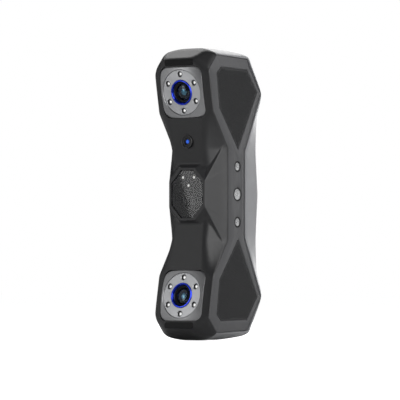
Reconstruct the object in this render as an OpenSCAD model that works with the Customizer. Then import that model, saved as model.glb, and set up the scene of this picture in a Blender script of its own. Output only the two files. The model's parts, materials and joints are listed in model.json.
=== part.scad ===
// Handheld two-camera 3D scanner.
// Frame: +Z up along the length, -Y is the optical face, +X is the button side.
// The origin is the centre of the flat lower end. The design is drawn about the
// middle of the length and lifted by half of it.

/* [Body] */
// Overall length, end to end
length = 215; // [205:1:260]
// Overall width across the side covers
width = 50; // [46:1:62]
// Overall depth, optical face to back
depth = 73; // [70:1:90]
// Wall of the two shells
wall = 2.2; // [1.8:0.1:2.7]
// Rounding left on the inside of the shell edges
inner_edge_r = 0.4; // [0.3:0.1:1.4]
// Visible gap between neighbouring covers
seam_gap = 0.3; // [0.2:0.05:0.5]

/* [Side covers] */
// Thickness of a side cover
cover_t = 2.4; // [2:0.1:3]
// Depth of the pocket that a grip pad is bonded into
pad_pocket = 1.2; // [0.8:0.1:1.4]
// How far a grip pad sits below the cover
pad_sink = 0.25; // [0:0.05:0.5]
// Half length of the narrow waist of a cover
waist_half = 34; // [30:1:40]

/* [Cameras] */
// Distance from mid-length to each camera axis
camera_z = 74.4; // [72:0.5:80]
// Inward tilt of each camera
toe_in = 10.5; // [4:0.5:14]
// Width and height of the square camera bezel
bezel_size = 37.6; // [36:0.2:38]
// Corner radius of the camera bezel
bezel_corner_r = 6; // [3:0.5:9]
// Thickness of the camera bezel
bezel_t = 2.6; // [2.2:0.1:3]
// Radius of the light ring disc
disc_r = 16.8; // [16.6:0.1:17.2]
// Thickness of the light ring disc
disc_t = 1.5; // [1:0.1:1.8]
// Radius of the circle that the ring lights sit on
led_circle_r = 13.6; // [13:0.1:13.8]
// Number of ring lights around each lens
led_count = 6; // [4:1:8]
// Radius of a ring light
led_r = 1.9; // [1.2:0.1:2]
// Outer radius of the coloured lens trim ring
trim_r = 9.3; // [8.8:0.1:9.6]
// Outer radius of the lens barrel
barrel_r = 7.6; // [7:0.1:8]
// Radius of the front lens element
glass_r = 6.4; // [5.6:0.1:6.8]
// Side of the square camera module
module_size = 29; // [26:0.5:31]
// Depth of the camera module
module_t = 13; // [10:0.5:15]

/* [Projector window] */
// Half width of the octagonal turret
turret_half_w = 16.2; // [15:0.1:17]
// Half height of the octagonal turret
turret_half_h = 19.4; // [18:0.1:21]
// Rim left around the window
rim_w = 1.9; // [1.2:0.1:2.5]
// Thickness of the clear cover glass
cover_glass_t = 0.8; // [0.5:0.1:1.2]
// Thickness of the dark mask plate
mask_t = 1.4; // [1:0.1:2]
// Width of the projector aperture
aperture_w = 13; // [8:0.5:14]
// Height of the projector aperture
aperture_h = 8.4; // [6:0.2:9]

/* [Colour camera] */
// Height of the colour camera above mid-length
colour_z = 38.6; // [36:0.2:42]
// Outer radius of its bezel
colour_r = 5.1; // [4.5:0.1:6]

/* [Buttons] */
// Radius of the scan button
scan_r = 3.4; // [3:0.1:4.1]
// Radius of the two small buttons
small_r = 2.3; // [2:0.1:2.6]
// Distance between neighbouring buttons
button_pitch = 20.5; // [18:0.5:22]
// Travel of a button
button_travel = 0.35; // [0.2:0.05:0.4]
// Running clearance around a button
button_gap = 0.25; // [0.2:0.05:0.3]
// Width of the ring around a button
button_ring_w = 0.9; // [0.6:0.1:1]

/* [Port] */
// Distance between the two locking screw holes
lock_pitch = 15; // [15:0.5:16]
// Radius of a locking screw hole
lock_r = 0.8; // [0.7:0.05:1]
// Width of the port plate
port_w = 24; // [22:0.5:26]
// Depth of the port plate
port_d = 11; // [9:0.5:12]

/* [Inside] */
// Thickness of the optical bench
bench_t = 6; // [5:0.5:7]
// Width of the optical bench
bench_w = 24; // [20:1:26]
// Thickness of every circuit board
board_t = 1.6; // [1:0.1:1.8]
// Height of the standoffs between bench and main board
standoff_h = 4; // [3:0.5:5]
// Fin count of the heat sink
fin_count = 7; // [4:1:9]

/* [Hidden] */

eps = 0.01;
fit_gap = 0.1;
far = 200;
ball_fn = 16;
edge_r = wall + inner_edge_r;
half_l = length / 2;
half_w = width / 2;
half_d = depth / 2;
// Share of the edge radius by which a rounded corner's centre sits back along a face
turn_front = 0.45;
turn_side = 0.3;
turn_back = 0.7;

// Side view of the body: depth (y) of the main lines, from the front and back planes
waist_front_y = -half_d + 28;
waist_back_y = half_d - 23;
waist_front_face = -half_d + 15;
camera_y = -half_d + 4.3;
head_low_z = camera_z - 14.4;
head_low_y = camera_y + (camera_z - head_low_z) * tan(toe_in);
head_top_z = half_l - 9.2;
back_corner_z = camera_z + 2.6;
top_front_y = -half_d + 14;
top_back_y = half_d - 18;

// Seam between the front shell and everything behind it, upper half: [y, z]
front_seam = [
  [waist_front_y + 0.8, 0],
  [waist_front_y + 0.8, waist_half],
  [head_low_y + 3.6, head_low_z + 0.5],
  [-half_d + 5, half_l - 16.5],
  [top_front_y + 1, half_l - 5.5],
  [top_front_y + 1, half_l + far]];

// Outline of a side cover, upper half: [y, z]
cover_line = [
  [waist_front_y + 0.8 + seam_gap, 0],
  [waist_front_y + 0.8 + seam_gap, waist_half],
  [head_low_y + 3.6 + seam_gap, head_low_z + 0.5],
  [-half_d + 5 + seam_gap, half_l - 16.5],
  [top_front_y + 1 + seam_gap, half_l - 5.5 - seam_gap],
  [half_d - 20, half_l - 6.9],
  [half_d - 2.2, back_corner_z - 1.5],
  [waist_back_y, waist_half - 2],
  [waist_back_y, 0]];

// Outline of an upper grip pad: [y, z]
pad_line = [
  [-half_d + 19.5, half_l - 14.4],
  [-half_d + 14.2, half_l - 19.2],
  [head_low_y + 10.6, head_low_z + 3],
  [waist_back_y - 8.9, waist_half - 1],
  [half_d - 7.4, back_corner_z - 1.2],
  [half_d - 20.6, half_l - 15.1]];

// Planes across the body, in x, measured from the middle
cover_in = half_w - cover_t;
side_wall_out = cover_in - fit_gap;
side_wall_in = side_wall_out - wall;

// Optical bench and boards, in y
bench_y = half_d - 33.5;
board_y = bench_y + bench_t + standoff_h;
bench_half = camera_z + 19;
board_half_h = 58;
board_half_w = 14;
chip_t = 1.8;
pad_t = 1;
processor_size = 16;
sink_base = 3;
sink_half_w = 13;
sink_half_h = 24;
sink_back = half_d - 8;
standoff_z = board_half_h - 5;
standoff_x = board_half_w - 4;
standoff_r = 2.4;
screw_r = 1;
screw_head_r = 1.9;
screw_head_t = 1.3;

// Camera stack, along the camera axis, 0 at the disc's face and negative inwards
seat_t = 2.4;
seat_z = -bezel_t - fit_gap;
board_seat_r = led_circle_r + led_r + 0.5;
led_board_z = seat_z - 1.6;
led_board_t = 1;
barrel_front = -1.6;
barrel_back = -14;
module_front = -17;
module_back = module_front - module_t;
lens_mount_r = barrel_r + 1.8;
bracket_half_w = 12;
bracket_half_h = 13;
// depth of a bracket block before the tilted module face cuts it back
bracket_slope = 3.8;
bracket_depth = bench_y - camera_y + module_back + bracket_slope;
bracket_screw = 9.5;

// Octagonal window, outlines shrink inwards from the turret's edge
turret_y = -half_d + 10.9;
window_sink = 0.5;
octagon_cut = 0.545;
glass_front = turret_y + window_sink;
mask_front = glass_front + cover_glass_t + 0.02;
led_spread = 5;
led_high = 12.3;
led_low = 6.3;
flash_r = 1.5;
aperture_z = -4.9;
projector_front = mask_front + mask_t + 0.1;
projector_half_w = 9.4;
projector_low = 7.2;
projector_high = 7.3;

// Colour camera, in y
colour_front = head_low_y + 4.8;

// Buttons, in x and y
button_y = waist_back_y - 10;
button_top = half_w - 0.15;
button_flange_t = 0.7;
button_flange_extra = 0.9;
switch_size = 4.4;
switch_t = 1.6;
button_board_x = side_wall_in - 3.6;
switch_top = button_board_x + board_t + switch_t;
stem_tip = switch_top + button_travel + fit_gap;
button_zs = [button_pitch, 0, -button_pitch];

// Port, in z, on the lower end
port_y = top_front_y + 15;
port_t = 2;
port_sink = 0.4;
usb_w = 8.94;
usb_h = 3.26;
usb_len = 7.35;
usb_skin = 0.3;
lock_depth = 6;

// End strips
strip_w = 26;
strip_h = 4.7;
strip_t = 1.2;
strip_y = -half_d + 0.25;
strip_z = half_l - 11.2;

// Screws that join the shells, under the side covers
tab_z = waist_half + 16;
tab_y = -half_d + 22;
tab_half = 3.4;
tab_t = 4.5;
pillar_z = camera_z + 10;
pillar_x = 8;
pillar_r = 3.2;

function mirror_z(line) = [for (i = [len(line) - 1:-1:0]) [line[i][0], -line[i][1]]];
function both_halves(line) = concat(line, mirror_z(line));
function octagon(w, h) = [
  [w * octagon_cut * 0.84, h], [w, h * octagon_cut * 0.95],
  [w, -h * octagon_cut * 0.95], [w * octagon_cut * 0.84, -h],
  [-w * octagon_cut * 0.84, -h], [-w, -h * octagon_cut * 0.95],
  [-w, h * octagon_cut * 0.95], [-w * octagon_cut * 0.84, h]];

// Everything below is drawn about mid-length; this stands it on its lower end
module stand() {
  translate([0, 0, half_l]) children();
}

// A side view outline [y, z] as a slab between two x planes
module side_slab(x0, x1) {
  translate([x0, 0, 0]) rotate([90, 0, 90]) linear_extrude(x1 - x0) children();
}

// A front view outline [x, z] as a slab whose front is at y
module front_slab(y, t) {
  translate([0, y + t, 0]) rotate([90, 0, 0]) linear_extrude(t) children();
}

// Camera frame: local +Z is the camera's outward axis; side is 1 above and -1 below
module at_camera(side) {
  translate([0, camera_y, side * camera_z]) rotate([90 + side * toe_in, 0, 0]) children();
}

// Pin along +X from x0 to x1
module pin_x(r, x0, x1) {
  translate([x0, 0, 0]) rotate([0, 90, 0]) cylinder(r = r, h = x1 - x0, $fn = 48);
}

// Pin along +Y from y0 to y1
module pin_y(r, y0, y1) {
  translate([0, y0, 0]) rotate([-90, 0, 0]) cylinder(r = r, h = y1 - y0, $fn = 48);
}

// Round corner of the body, on both sides of the middle
module ball_pair(x, y, z, grow) {
  for (s = [-1, 1])
    translate([s * x, y, z]) sphere(r = (edge_r + grow) / cos(180 / ball_fn), $fn = ball_fn);
}

// One cross-section of the body: front face, side plane and back, as corner balls
module section(z, front_w, front_y, side_y0, side_y1, back_w, back_y, grow) {
  ball_pair(front_w - turn_front * edge_r, front_y + edge_r, z, grow);
  ball_pair(half_w - edge_r, side_y0 + turn_side * edge_r, z, grow);
  ball_pair(half_w - edge_r, side_y1 - turn_side * edge_r, z, grow);
  ball_pair(back_w - turn_back * edge_r, back_y - edge_r, z, grow);
}

module middle_section(z, grow) {
  section(z, half_w - 10.2, waist_front_face, waist_front_y, waist_back_y, half_w - 5.4,
    half_d, grow);
}

module neck_section(z, grow) {
  section(z, half_w - 10.2, waist_front_face, waist_front_y, waist_back_y, half_w - 6.1,
    half_d - 0.9, grow);
}

module waist_section(z, grow) {
  section(z, half_w - 9.9, waist_front_face - 2.5, waist_front_y, waist_back_y, half_w - 6.2,
    half_d - 1.2, grow);
}

module shoulder_section(z, grow) {
  section(z, half_w - 6.3, head_low_y, head_low_y + 2.8, half_d - 10, half_w - 6.1,
    half_d - 0.5, grow);
}

// The widened end around a camera, upper half
module head(grow) {
  e = edge_r;
  hull() {
    shoulder_section(head_low_z, grow);
    ball_pair(half_w - 5.7 - turn_front * e, camera_y - 1.2 + e, camera_z + 6, grow);
    ball_pair(half_w - 6.4 - turn_front * e, -half_d + 0.9 + e, half_l - 16, grow);
    ball_pair(half_w - 11.2 - turn_front * e, -half_d + e, head_top_z - turn_front * e, grow);
    ball_pair(half_w - e, -half_d + 4.4 + turn_side * e, half_l - 16, grow);
    ball_pair(half_w - e, top_front_y - 0.5 + turn_side * e, half_l - 5 - turn_front * e, grow);
    ball_pair(half_w - e, half_d - 18, half_l - 5 - turn_front * e, grow);
    ball_pair(half_w - e, half_d - e, back_corner_z, grow);
    ball_pair(half_w - 12, top_front_y + turn_side * e, half_l - e, grow);
    ball_pair(half_w - 12, top_front_y + 8, half_l - e, grow);
    ball_pair(half_w - 12, top_back_y - 10, half_l - e, grow);
    ball_pair(half_w - 11.5, top_back_y, half_l - 2 - e, grow);
    ball_pair(half_w - e, half_d - e, back_corner_z - 3, grow);
  }
}

// Upper half of the body; grow moves every face outwards by the same amount
module half_body(grow) {
  hull() {
    neck_section(22, grow);
    waist_section(waist_half, grow);
  }
  hull() {
    waist_section(waist_half, grow);
    shoulder_section(head_low_z, grow);
  }
  head(grow);
}

// The whole outside form
module body_form(grow) {
  half_body(grow);
  mirror([0, 0, 1]) half_body(grow);
  hull() {
    neck_section(22, grow);
    middle_section(0, grow);
    neck_section(-22, grow);
  }
}

// Raised octagonal turret with its flanks running out to the side covers
module turret(shrink) {
  hull() {
    front_slab(turret_y + shrink, 0.5) polygon(octagon(turret_half_w - shrink, turret_half_h - shrink));
    ball_pair(half_w - edge_r, waist_front_y + turn_side * edge_r, waist_half - 3, -shrink);
    ball_pair(half_w - edge_r, waist_front_y + turn_side * edge_r, 3 - waist_half, -shrink);
  }
}

module window_outline(gap) {
  polygon(octagon(turret_half_w - rim_w - gap, turret_half_h - rim_w - gap));
}

module rounded_square(w, h, r) {
  hull()
    for (x = [r - w / 2, w / 2 - r], y = [r - h / 2, h / 2 - r]) translate([x, y]) circle(r, $fn = 32);
}

module obround(w, h) {
  hull()
    for (s = [-1, 1]) translate([s * (w - h) / 2, 0]) circle(d = h, $fn = 32);
}

// Region in front of the seam
module front_region(gap) {
  side_slab(-far, far)
    polygon(concat([[-far, half_l + far]], mirror_list_top(gap), [[-far, -half_l - far]]));
}

function mirror_list_top(gap) = [
  for (p = concat([for (i = [len(front_seam) - 1:-1:0]) front_seam[i]],
                  [for (p = front_seam) [p[0], -p[1]]])) [p[0] + gap, p[1]]];

// Screw with a flat round head, axis +X, head outermost at x
module screw_x(x, len) {
  pin_x(screw_head_r, x - screw_head_t, x);
  pin_x(screw_r, x - screw_head_t - len, x - screw_head_t + eps);
}

module front_shell() {
  color("#3A3B3D") stand() difference() {
    intersection() {
      front_region(0);
      union() {
        difference() {
          union() {
            body_form(0);
            turret(0);
          }
          body_form(-wall);
          turret(wall);
        }
        intersection() {
          body_form(-0.4);
          union() {
            for (s = [-1, 1])
              at_camera(s) translate([0, 0, seat_z - seat_t])
                linear_extrude(seat_t) rounded_square(bezel_size + 4, bezel_size + 4, bezel_corner_r);
            for (s = [-1, 1])
              front_slab(-half_d, strip_t + wall) translate([0, s * strip_z]) obround(strip_w + 3, strip_h + 3);
          }
        }
        front_slab(glass_front, 3.8) window_outline(-1.2);
        translate([0, colour_front + 0.6, colour_z]) pin_y(colour_r + 1.6, 0, 4.3);
      }
    }
    for (s = [-1, 1]) {
      at_camera(s) {
        translate([0, 0, seat_z])
          linear_extrude(far) rounded_square(bezel_size + 0.2, bezel_size + 0.2, bezel_corner_r);
        translate([0, 0, seat_z - seat_t - 1]) cylinder(r = board_seat_r - 1.2, h = far, $fn = 64);
        translate([0, 0, led_board_z - led_board_t - 0.05])
          cylinder(r = board_seat_r + 0.2, h = far, $fn = 64);
      }
      front_slab(-half_d - far, far + 0.25 + strip_t + 0.1)
        translate([0, s * strip_z]) obround(strip_w + 0.2, strip_h + 0.2);
    }
    front_slab(glass_front - far, far + cover_glass_t + mask_t + 0.12) window_outline(-fit_gap);
    front_slab(glass_front - 1, 20) window_outline(1.6);
    translate([0, 0, colour_z]) pin_y(colour_r + fit_gap, -far, 0);
  }
  // tabs that the shell screws bite into, inside the rear shell's side walls
  color("#3A3B3D") stand() shell_tabs();
}

module shell_tabs() {
  for (s = [-1, 1], t = [-1, 1])
    difference() {
      intersection() {
        body_form(-wall + 0.5);
        translate([s > 0 ? side_wall_in - 0.1 - tab_t : 0.1 - side_wall_in, -half_d, t * tab_z - tab_half])
          cube([tab_t, tab_y + half_d + tab_half, 2 * tab_half]);
      }
      translate([0, tab_y, t * tab_z]) pin_x(screw_r + 0.05, -far, far);
    }
}

module rear_shell() {
  color("#8E9094") stand() difference() {
    union() {
      difference() {
        body_form(0);
        front_region(seam_gap);
        for (s = [-1, 1])
          side_slab(s > 0 ? side_wall_out : -far, s > 0 ? far : -side_wall_out)
            polygon(pocket_line());
        intersection() {
          body_form(-wall);
          translate([-side_wall_in, -far, -far]) cube([2 * side_wall_in, 2 * far, 2 * far]);
        }
      }
      // pillars that carry the optical bench
      intersection() {
        body_form(-0.5);
        for (x = [-1, 1], z = [-1, 1])
          translate([x * pillar_x, 0, z * pillar_z]) pin_y(pillar_r, bench_y + bench_t + 0.02, half_d);
      }
      // posts that carry the button board
      for (z = [-1, 1])
        translate([0, button_y, z * (button_pitch + 8)])
          pin_x(1.8, button_board_x + board_t + 0.02, side_wall_in + 0.5);
    }
    // window for the buttons
    translate([0, button_y - 5, -button_pitch - 5]) cube([half_w, 10, 2 * button_pitch + 10]);
    for (x = [-1, 1], z = [-1, 1])
      translate([x * pillar_x, 0, z * pillar_z]) pin_y(screw_r + 0.1, bench_y, bench_y + bench_t + 8);
    for (s = [-1, 1])
      translate([0, tab_y, s * tab_z]) pin_x(screw_r + 0.2, -half_w, half_w);
    for (s = [-1, 1], t = [-1, 1])
      translate([0, tab_y, t * tab_z])
        pin_x(screw_head_r + 0.2, s > 0 ? side_wall_out - screw_head_t - 0.05 : -half_w,
          s > 0 ? half_w : -side_wall_out + screw_head_t + 0.05);
    translate([0, port_y, -half_l - 1]) linear_extrude(port_t + port_sink + 1.02)
      obround(port_w + 0.2, port_d + 0.2);
    translate([0, port_y, -half_l - 1]) linear_extrude(wall + 10) obround(port_w - 3, port_d - 3);
  }
}

// Cover outline with its front edge carried into the front shell's region
function pocket_line() = [
  for (p = both_halves(cover_line)) [p[0] < 0 ? p[0] - 3 : p[0], p[1]]];

// Side cover; side is 1 on the button side and -1 on the other
module side_cover(side) {
  color("#5B5C5F") stand() mirror([side > 0 ? 0 : 1, 0, 0]) difference() {
    side_slab(cover_in, half_w) polygon(inset_line());
    side_slab(half_w - pad_pocket, half_w + 1) polygon(pad_line);
    side_slab(half_w - pad_pocket, half_w + 1) polygon(mirror_z(pad_line));
    if (side > 0)
      for (i = [0, 1, 2])
        translate([0, button_y, button_zs[i]]) pin_x(ring_r(i) + 0.02, cover_in - 1, half_w + 1);
  }
}

// Cover outline pulled in behind by the seam gap, so that it drops into its pocket
function inset_line() = [
  for (p = both_halves(cover_line)) [p[0] > 0 ? p[0] - seam_gap : p[0] + 0.02, p[1] * (1 - seam_gap / half_l)]];

module grip_pad(side, end) {
  color("#2F3032") stand() mirror([side > 0 ? 0 : 1, 0, 0]) mirror([0, 0, end > 0 ? 0 : 1])
    side_slab(half_w - pad_pocket + 0.01, half_w - pad_sink) polygon(pad_inset());
}

function pad_inset() = let(cy = 2, cz = camera_z - 2)
  [for (p = pad_line) [cy + (p[0] - cy) * 0.985, cz + (p[1] - cz) * 0.985]];

module camera_bezel(side) {
  color("#75767A") stand() at_camera(side) difference() {
    translate([0, 0, -bezel_t])
      linear_extrude(bezel_t - 0.3) rounded_square(bezel_size, bezel_size, bezel_corner_r);
    translate([0, 0, -disc_t - 0.05]) cylinder(r = disc_r + 0.1, h = far, $fn = 96);
    translate([0, 0, -far / 2]) cylinder(r = board_seat_r, h = far, $fn = 96);
  }
}

module led_places(start) {
  for (i = [0:led_count - 1])
    rotate([0, 0, start + i * 360 / led_count]) translate([led_circle_r, 0, 0]) children();
}

module light_ring_disc(side) {
  color("#A8A9AD") stand() at_camera(side) difference() {
    translate([0, 0, -disc_t]) cylinder(r = disc_r, h = disc_t, $fn = 96);
    translate([0, 0, -far / 2]) cylinder(r = trim_r + 0.1, h = far, $fn = 96);
    led_places(90) translate([0, 0, -far / 2]) cylinder(r = led_r + 0.4, h = far, $fn = 32);
  }
}

module lens_trim_ring(side) {
  color("#0A30AD") stand() at_camera(side) rotate_extrude($fn = 96)
    polygon([[barrel_r + 0.05, -6], [trim_r, -6], [trim_r, 0.3], [trim_r - 0.35, 0.6],
      [trim_r - 0.7, 0.5], [barrel_r + 0.4, -1.2], [barrel_r + 0.05, -1.6]]);
}

module lens_barrel(side) {
  color("#18181A") stand() at_camera(side) rotate_extrude($fn = 96)
    polygon([[0, barrel_back], [barrel_r - 1, barrel_back], [barrel_r, barrel_back + 1],
      [barrel_r, barrel_front], [glass_r + 0.6, barrel_front], [glass_r + 0.2, barrel_front - 0.6],
      [glass_r + 0.05, barrel_front - 2.4], [glass_r + 0.05, barrel_front - 5.2],
      [0, barrel_front - 5.2]]);
}

module lens_glass(side) {
  dome_r = 12;
  top = barrel_front - 0.6;
  color("#3A4FA0") stand() at_camera(side) intersection() {
    translate([0, 0, top - dome_r]) sphere(r = dome_r, $fn = 96);
    translate([0, 0, barrel_front - 5.15]) cylinder(r = glass_r, h = 6, $fn = 96);
  }
}

module led_board(side) {
  color("#1F5C34") stand() at_camera(side) difference() {
    translate([0, 0, led_board_z - led_board_t]) cylinder(r = board_seat_r, h = led_board_t, $fn = 96);
    translate([0, 0, -far / 2]) cylinder(r = trim_r + 0.3, h = far, $fn = 96);
  }
}

module ring_leds(side) {
  led_top = -0.7;
  color("#F5F5F0") stand() at_camera(side) led_places(90) {
    translate([0, 0, led_board_z + 0.01])
      cylinder(r = led_r, h = led_top - led_r * 0.7 - led_board_z, $fn = 32);
    translate([0, 0, led_top - led_r * 0.7]) intersection() {
      translate([0, 0, -led_r * 0.3]) sphere(r = led_r * 1.04, $fn = 32);
      cylinder(r = led_r, h = led_r, $fn = 32);
    }
  }
}

module camera_module(side) {
  color("#26272A") stand() at_camera(side) difference() {
    union() {
      translate([-module_size / 2, -module_size / 2, module_back])
        cube([module_size, module_size, module_t]);
      translate([0, 0, module_front - eps]) cylinder(r = lens_mount_r, h = 7, $fn = 64);
    }
    translate([0, 0, module_front - 4]) cylinder(r = barrel_r + 0.05, h = far, $fn = 64);
    for (x = [-1, 1], y = [-1, 1])
      translate([x * bracket_screw, y * bracket_screw, module_back - 1])
        cylinder(r = screw_r + 0.05, h = 6, $fn = 24);
  }
}

module camera_bracket(side) {
  color("#B4B7BB") stand() difference() {
    translate([-bracket_half_w, bench_y - bracket_depth, side * (camera_z + 5.4) - bracket_half_h])
      cube([2 * bracket_half_w, bracket_depth - eps, 2 * bracket_half_h]);
    at_camera(side) translate([-far / 2, -far / 2, module_back - 0.02]) cube([far, far, far]);
    at_camera(side) translate([0, 0, -far / 2]) cylinder(r = 6, h = far, $fn = 48);
    for (x = [-1, 1], y = [-1, 1])
      at_camera(side) translate([x * bracket_screw, y * bracket_screw, -far / 2])
        cylinder(r = screw_r + 0.1, h = far, $fn = 24);
  }
}

module camera_screws(side) {
  color("#C8C9CC") stand() at_camera(side)
    for (x = [-1, 1], y = [-1, 1])
      translate([x * bracket_screw, y * bracket_screw, module_back - 0.05])
        cylinder(r = screw_r, h = 4.5, $fn = 24);
}

// Flat ribbon from a camera module down to the main board
module camera_cable(side) {
  ribbon = 9;
  t = 0.4;
  run_y = bench_y + bench_t + 1.4;
  top_z = bench_half + 1.2;
  color("#B0703A") stand() mirror([0, 0, side > 0 ? 0 : 1]) side_slab(-ribbon / 2, ribbon / 2) {
    translate([bench_y - 3.2, top_z - t]) square([run_y + t - bench_y + 3.2, t]);
    translate([run_y, board_half_h + 1.5]) square([t, top_z - board_half_h - 1.5]);
    translate([run_y, board_half_h + 1.5]) square([board_y + board_t + 0.05 + t - run_y, t]);
    translate([board_y + board_t + 0.05, board_half_h - 6]) square([t, 7.5 + t]);
  }
}

module end_strip(side) {
  color("#1E1E20") stand()
    front_slab(strip_y, strip_t) translate([0, side * strip_z]) obround(strip_w, strip_h);
}

module colour_camera_bezel() {
  color("#1A1B1D") stand() translate([0, 0, colour_z]) rotate([90, 0, 0]) rotate_extrude($fn = 64)
    polygon([[colour_r - 1.6, -colour_front - 4], [colour_r, -colour_front - 4],
      [colour_r, -colour_front + 1.1], [colour_r - 0.3, -colour_front + 1.4],
      [colour_r - 0.9, -colour_front + 1.4], [colour_r - 1.3, -colour_front],
      [colour_r - 1.6, -colour_front - 0.2]]);
}

module colour_camera_lens() {
  lens_r = colour_r - 1.65;
  color("#16337E") stand() translate([0, colour_front, colour_z]) rotate([90, 0, 0]) {
    rotate_extrude($fn = 64)
      polygon([[0, -5], [lens_r, -5], [lens_r, -0.4], [lens_r - 0.5, 0], [1.9, -0.6], [1.65, -1.6],
        [0, -1.6]]);
    translate([0, 0, -1.61]) intersection() {
      translate([0, 0, -2]) sphere(r = 2.6, $fn = 48);
      cylinder(r = 1.6, h = 2, $fn = 48);
    }
  }
}

module colour_camera_module() {
  size = 13;
  color("#2C2E31") stand() translate([-size / 2, colour_front + 5.05, colour_z - size / 2])
    cube([size, 9, size]);
}

module window_glass() {
  color("#5A6068", 0.5) stand() front_slab(glass_front, cover_glass_t) window_outline(0.05);
}

module window_mask() {
  color("#202124") stand() difference() {
    front_slab(mask_front, mask_t) window_outline(0.05);
    for (x = [-led_spread, led_spread]) translate([x, 0, led_high]) pin_y(flash_r, -far, far);
    translate([0, 0, led_low]) pin_y(flash_r, -far, far);
    translate([-aperture_w / 2, -far, aperture_z - aperture_h / 2]) cube([aperture_w, 2 * far, aperture_h]);
  }
}

module flash_led(x, z) {
  translate([x, 0, z]) pin_y(flash_r - 0.25, mask_front + 0.6, projector_front + 0.5);
}

module flash_leds() {
  color("#F4F0D8") stand() {
    flash_led(-led_spread, led_high);
    flash_led(led_spread, led_high);
    flash_led(0, led_low);
  }
}

module flash_led_board() {
  color("#1F5C34") stand()
    translate([-led_spread - 1.8, projector_front + 0.51, led_low - 3])
      cube([2 * led_spread + 3.6, 1, led_high - led_low + 5]);
}

// Laser line projector behind the lower half of the window, with a stepped mouth
module projector_module() {
  color("#1C1D20") stand() difference() {
    translate([-projector_half_w, projector_front, aperture_z - projector_low])
      cube([2 * projector_half_w, bench_y - projector_front - 0.02, projector_low + projector_high]);
    translate([-aperture_w / 2, -far, aperture_z - aperture_h / 2])
      cube([aperture_w * 0.16, far + projector_front + 5, aperture_h]);
    translate([-aperture_w * 0.3, -far, aperture_z - aperture_h / 2])
      cube([aperture_w * 0.8, far + projector_front + 1.6, aperture_h]);
    translate([-aperture_w * 0.1, -far, aperture_z - aperture_h / 2 + 0.9])
      cube([aperture_w * 0.56, far + projector_front + 4.2, aperture_h - 2.4]);
    translate([aperture_w * 0.18, 0, aperture_z - 0.3]) pin_y(2.1, -far, projector_front + 8);
  }
}

module projector_lens() {
  color("#27324A") stand() translate([aperture_w * 0.18, 0, aperture_z - 0.3])
    pin_y(2.05, projector_front + 5.4, projector_front + 7.95);
}

module optical_bench() {
  color("#9EA1A6") stand() difference() {
    translate([-bench_w / 2, bench_y, -bench_half]) cube([bench_w, bench_t, 2 * bench_half]);
    for (x = [-1, 1], z = [-1, 1])
      translate([x * pillar_x, 0, z * pillar_z]) pin_y(screw_r + 0.2, -far, far);
    for (z = [-44, -22, 22, 44]) translate([0, 0, z]) pin_y(6, -far, far);
    for (x = [-1, 1], z = [-1, 1])
      translate([x * bracket_half_w * 0.55, 0, z * (camera_z - 14)]) pin_y(screw_r + 0.1, -far, far);
  }
}

// Screws through the bench into the rear shell's pillars
module bench_screws() {
  color("#C8C9CC") stand()
    for (x = [-1, 1], z = [-1, 1])
      translate([x * pillar_x, 0, z * pillar_z]) pin_y(screw_r, bench_y + 0.3, bench_y + bench_t + 7);
}

module main_board() {
  color("#1F5C34") stand() difference() {
    translate([-board_half_w, board_y, -board_half_h]) cube([2 * board_half_w, board_t, 2 * board_half_h]);
    for (x = [-1, 1], z = [-1, 1])
      translate([x * standoff_x, 0, z * standoff_z]) pin_y(screw_r + 0.1, -far, far);
  }
}

module board_standoffs() {
  color("#C9A04A") stand()
    for (x = [-1, 1], z = [-1, 1])
      translate([x * standoff_x, 0, z * standoff_z]) difference() {
        pin_y(standoff_r, bench_y + bench_t + 0.01, board_y - 0.01);
        pin_y(screw_r + 0.02, bench_y, board_y + 1);
      }
}

module board_screws() {
  color("#C8C9CC") stand()
    for (x = [-1, 1], z = [-1, 1]) translate([x * standoff_x, 0, z * standoff_z]) {
      pin_y(screw_head_r, board_y + board_t + 0.01, board_y + board_t + screw_head_t);
      pin_y(screw_r, board_y - standoff_h + 1, board_y + board_t + 0.02);
    }
}

module chip(x, z, w, h) {
  translate([x - w / 2, board_y + board_t + 0.01, z - h / 2]) cube([w, chip_t, h]);
}

module board_chips() {
  color("#17181A") stand() {
    chip(0, 0, processor_size, processor_size);
    chip(-6, 34, 9, 11);
    chip(6, 34, 9, 11);
    chip(0, -34, 12, 9);
  }
}

module thermal_pad() {
  color("#8FA7C4") stand()
    translate([-processor_size / 2, board_y + board_t + chip_t + 0.02, -processor_size / 2])
      cube([processor_size, pad_t, processor_size]);
}

module heat_sink() {
  base_y = board_y + board_t + chip_t + pad_t + 0.03;
  fin_t = 1.2;
  pitch = (2 * sink_half_w - fin_t) / (fin_count - 1);
  color("#8C9096") stand() {
    translate([-sink_half_w, base_y, -sink_half_h]) cube([2 * sink_half_w, sink_base, 2 * sink_half_h]);
    for (i = [0:fin_count - 1])
      translate([-sink_half_w + i * pitch, base_y + sink_base - eps, -sink_half_h])
        cube([fin_t, sink_back - base_y - sink_base, 2 * sink_half_h]);
  }
}

module port_plate() {
  color("#B9BBBF") stand() translate([0, port_y, -half_l + port_sink]) difference() {
    linear_extrude(port_t) obround(port_w, port_d);
    for (s = [-1, 1]) translate([s * lock_pitch / 2, 0, -1]) cylinder(r = lock_r, h = port_t + 2, $fn = 32);
    translate([0, 0, -1]) linear_extrude(port_t + 2) obround(usb_w + 0.1, usb_h + 0.1);
  }
}

module usb_connector() {
  color("#C8C9CC") stand() translate([0, port_y, -half_l + port_sink + 0.2]) difference() {
    linear_extrude(usb_len) obround(usb_w, usb_h);
    translate([0, 0, -1]) linear_extrude(usb_len) difference() {
      obround(usb_w - 2 * usb_skin, usb_h - 2 * usb_skin);
      square([6.7, 0.7], center = true);
    }
  }
}

function cap_r(i) = i == 1 ? scan_r : small_r;
function ring_r(i) = cap_r(i) + button_gap + button_ring_w;

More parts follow.
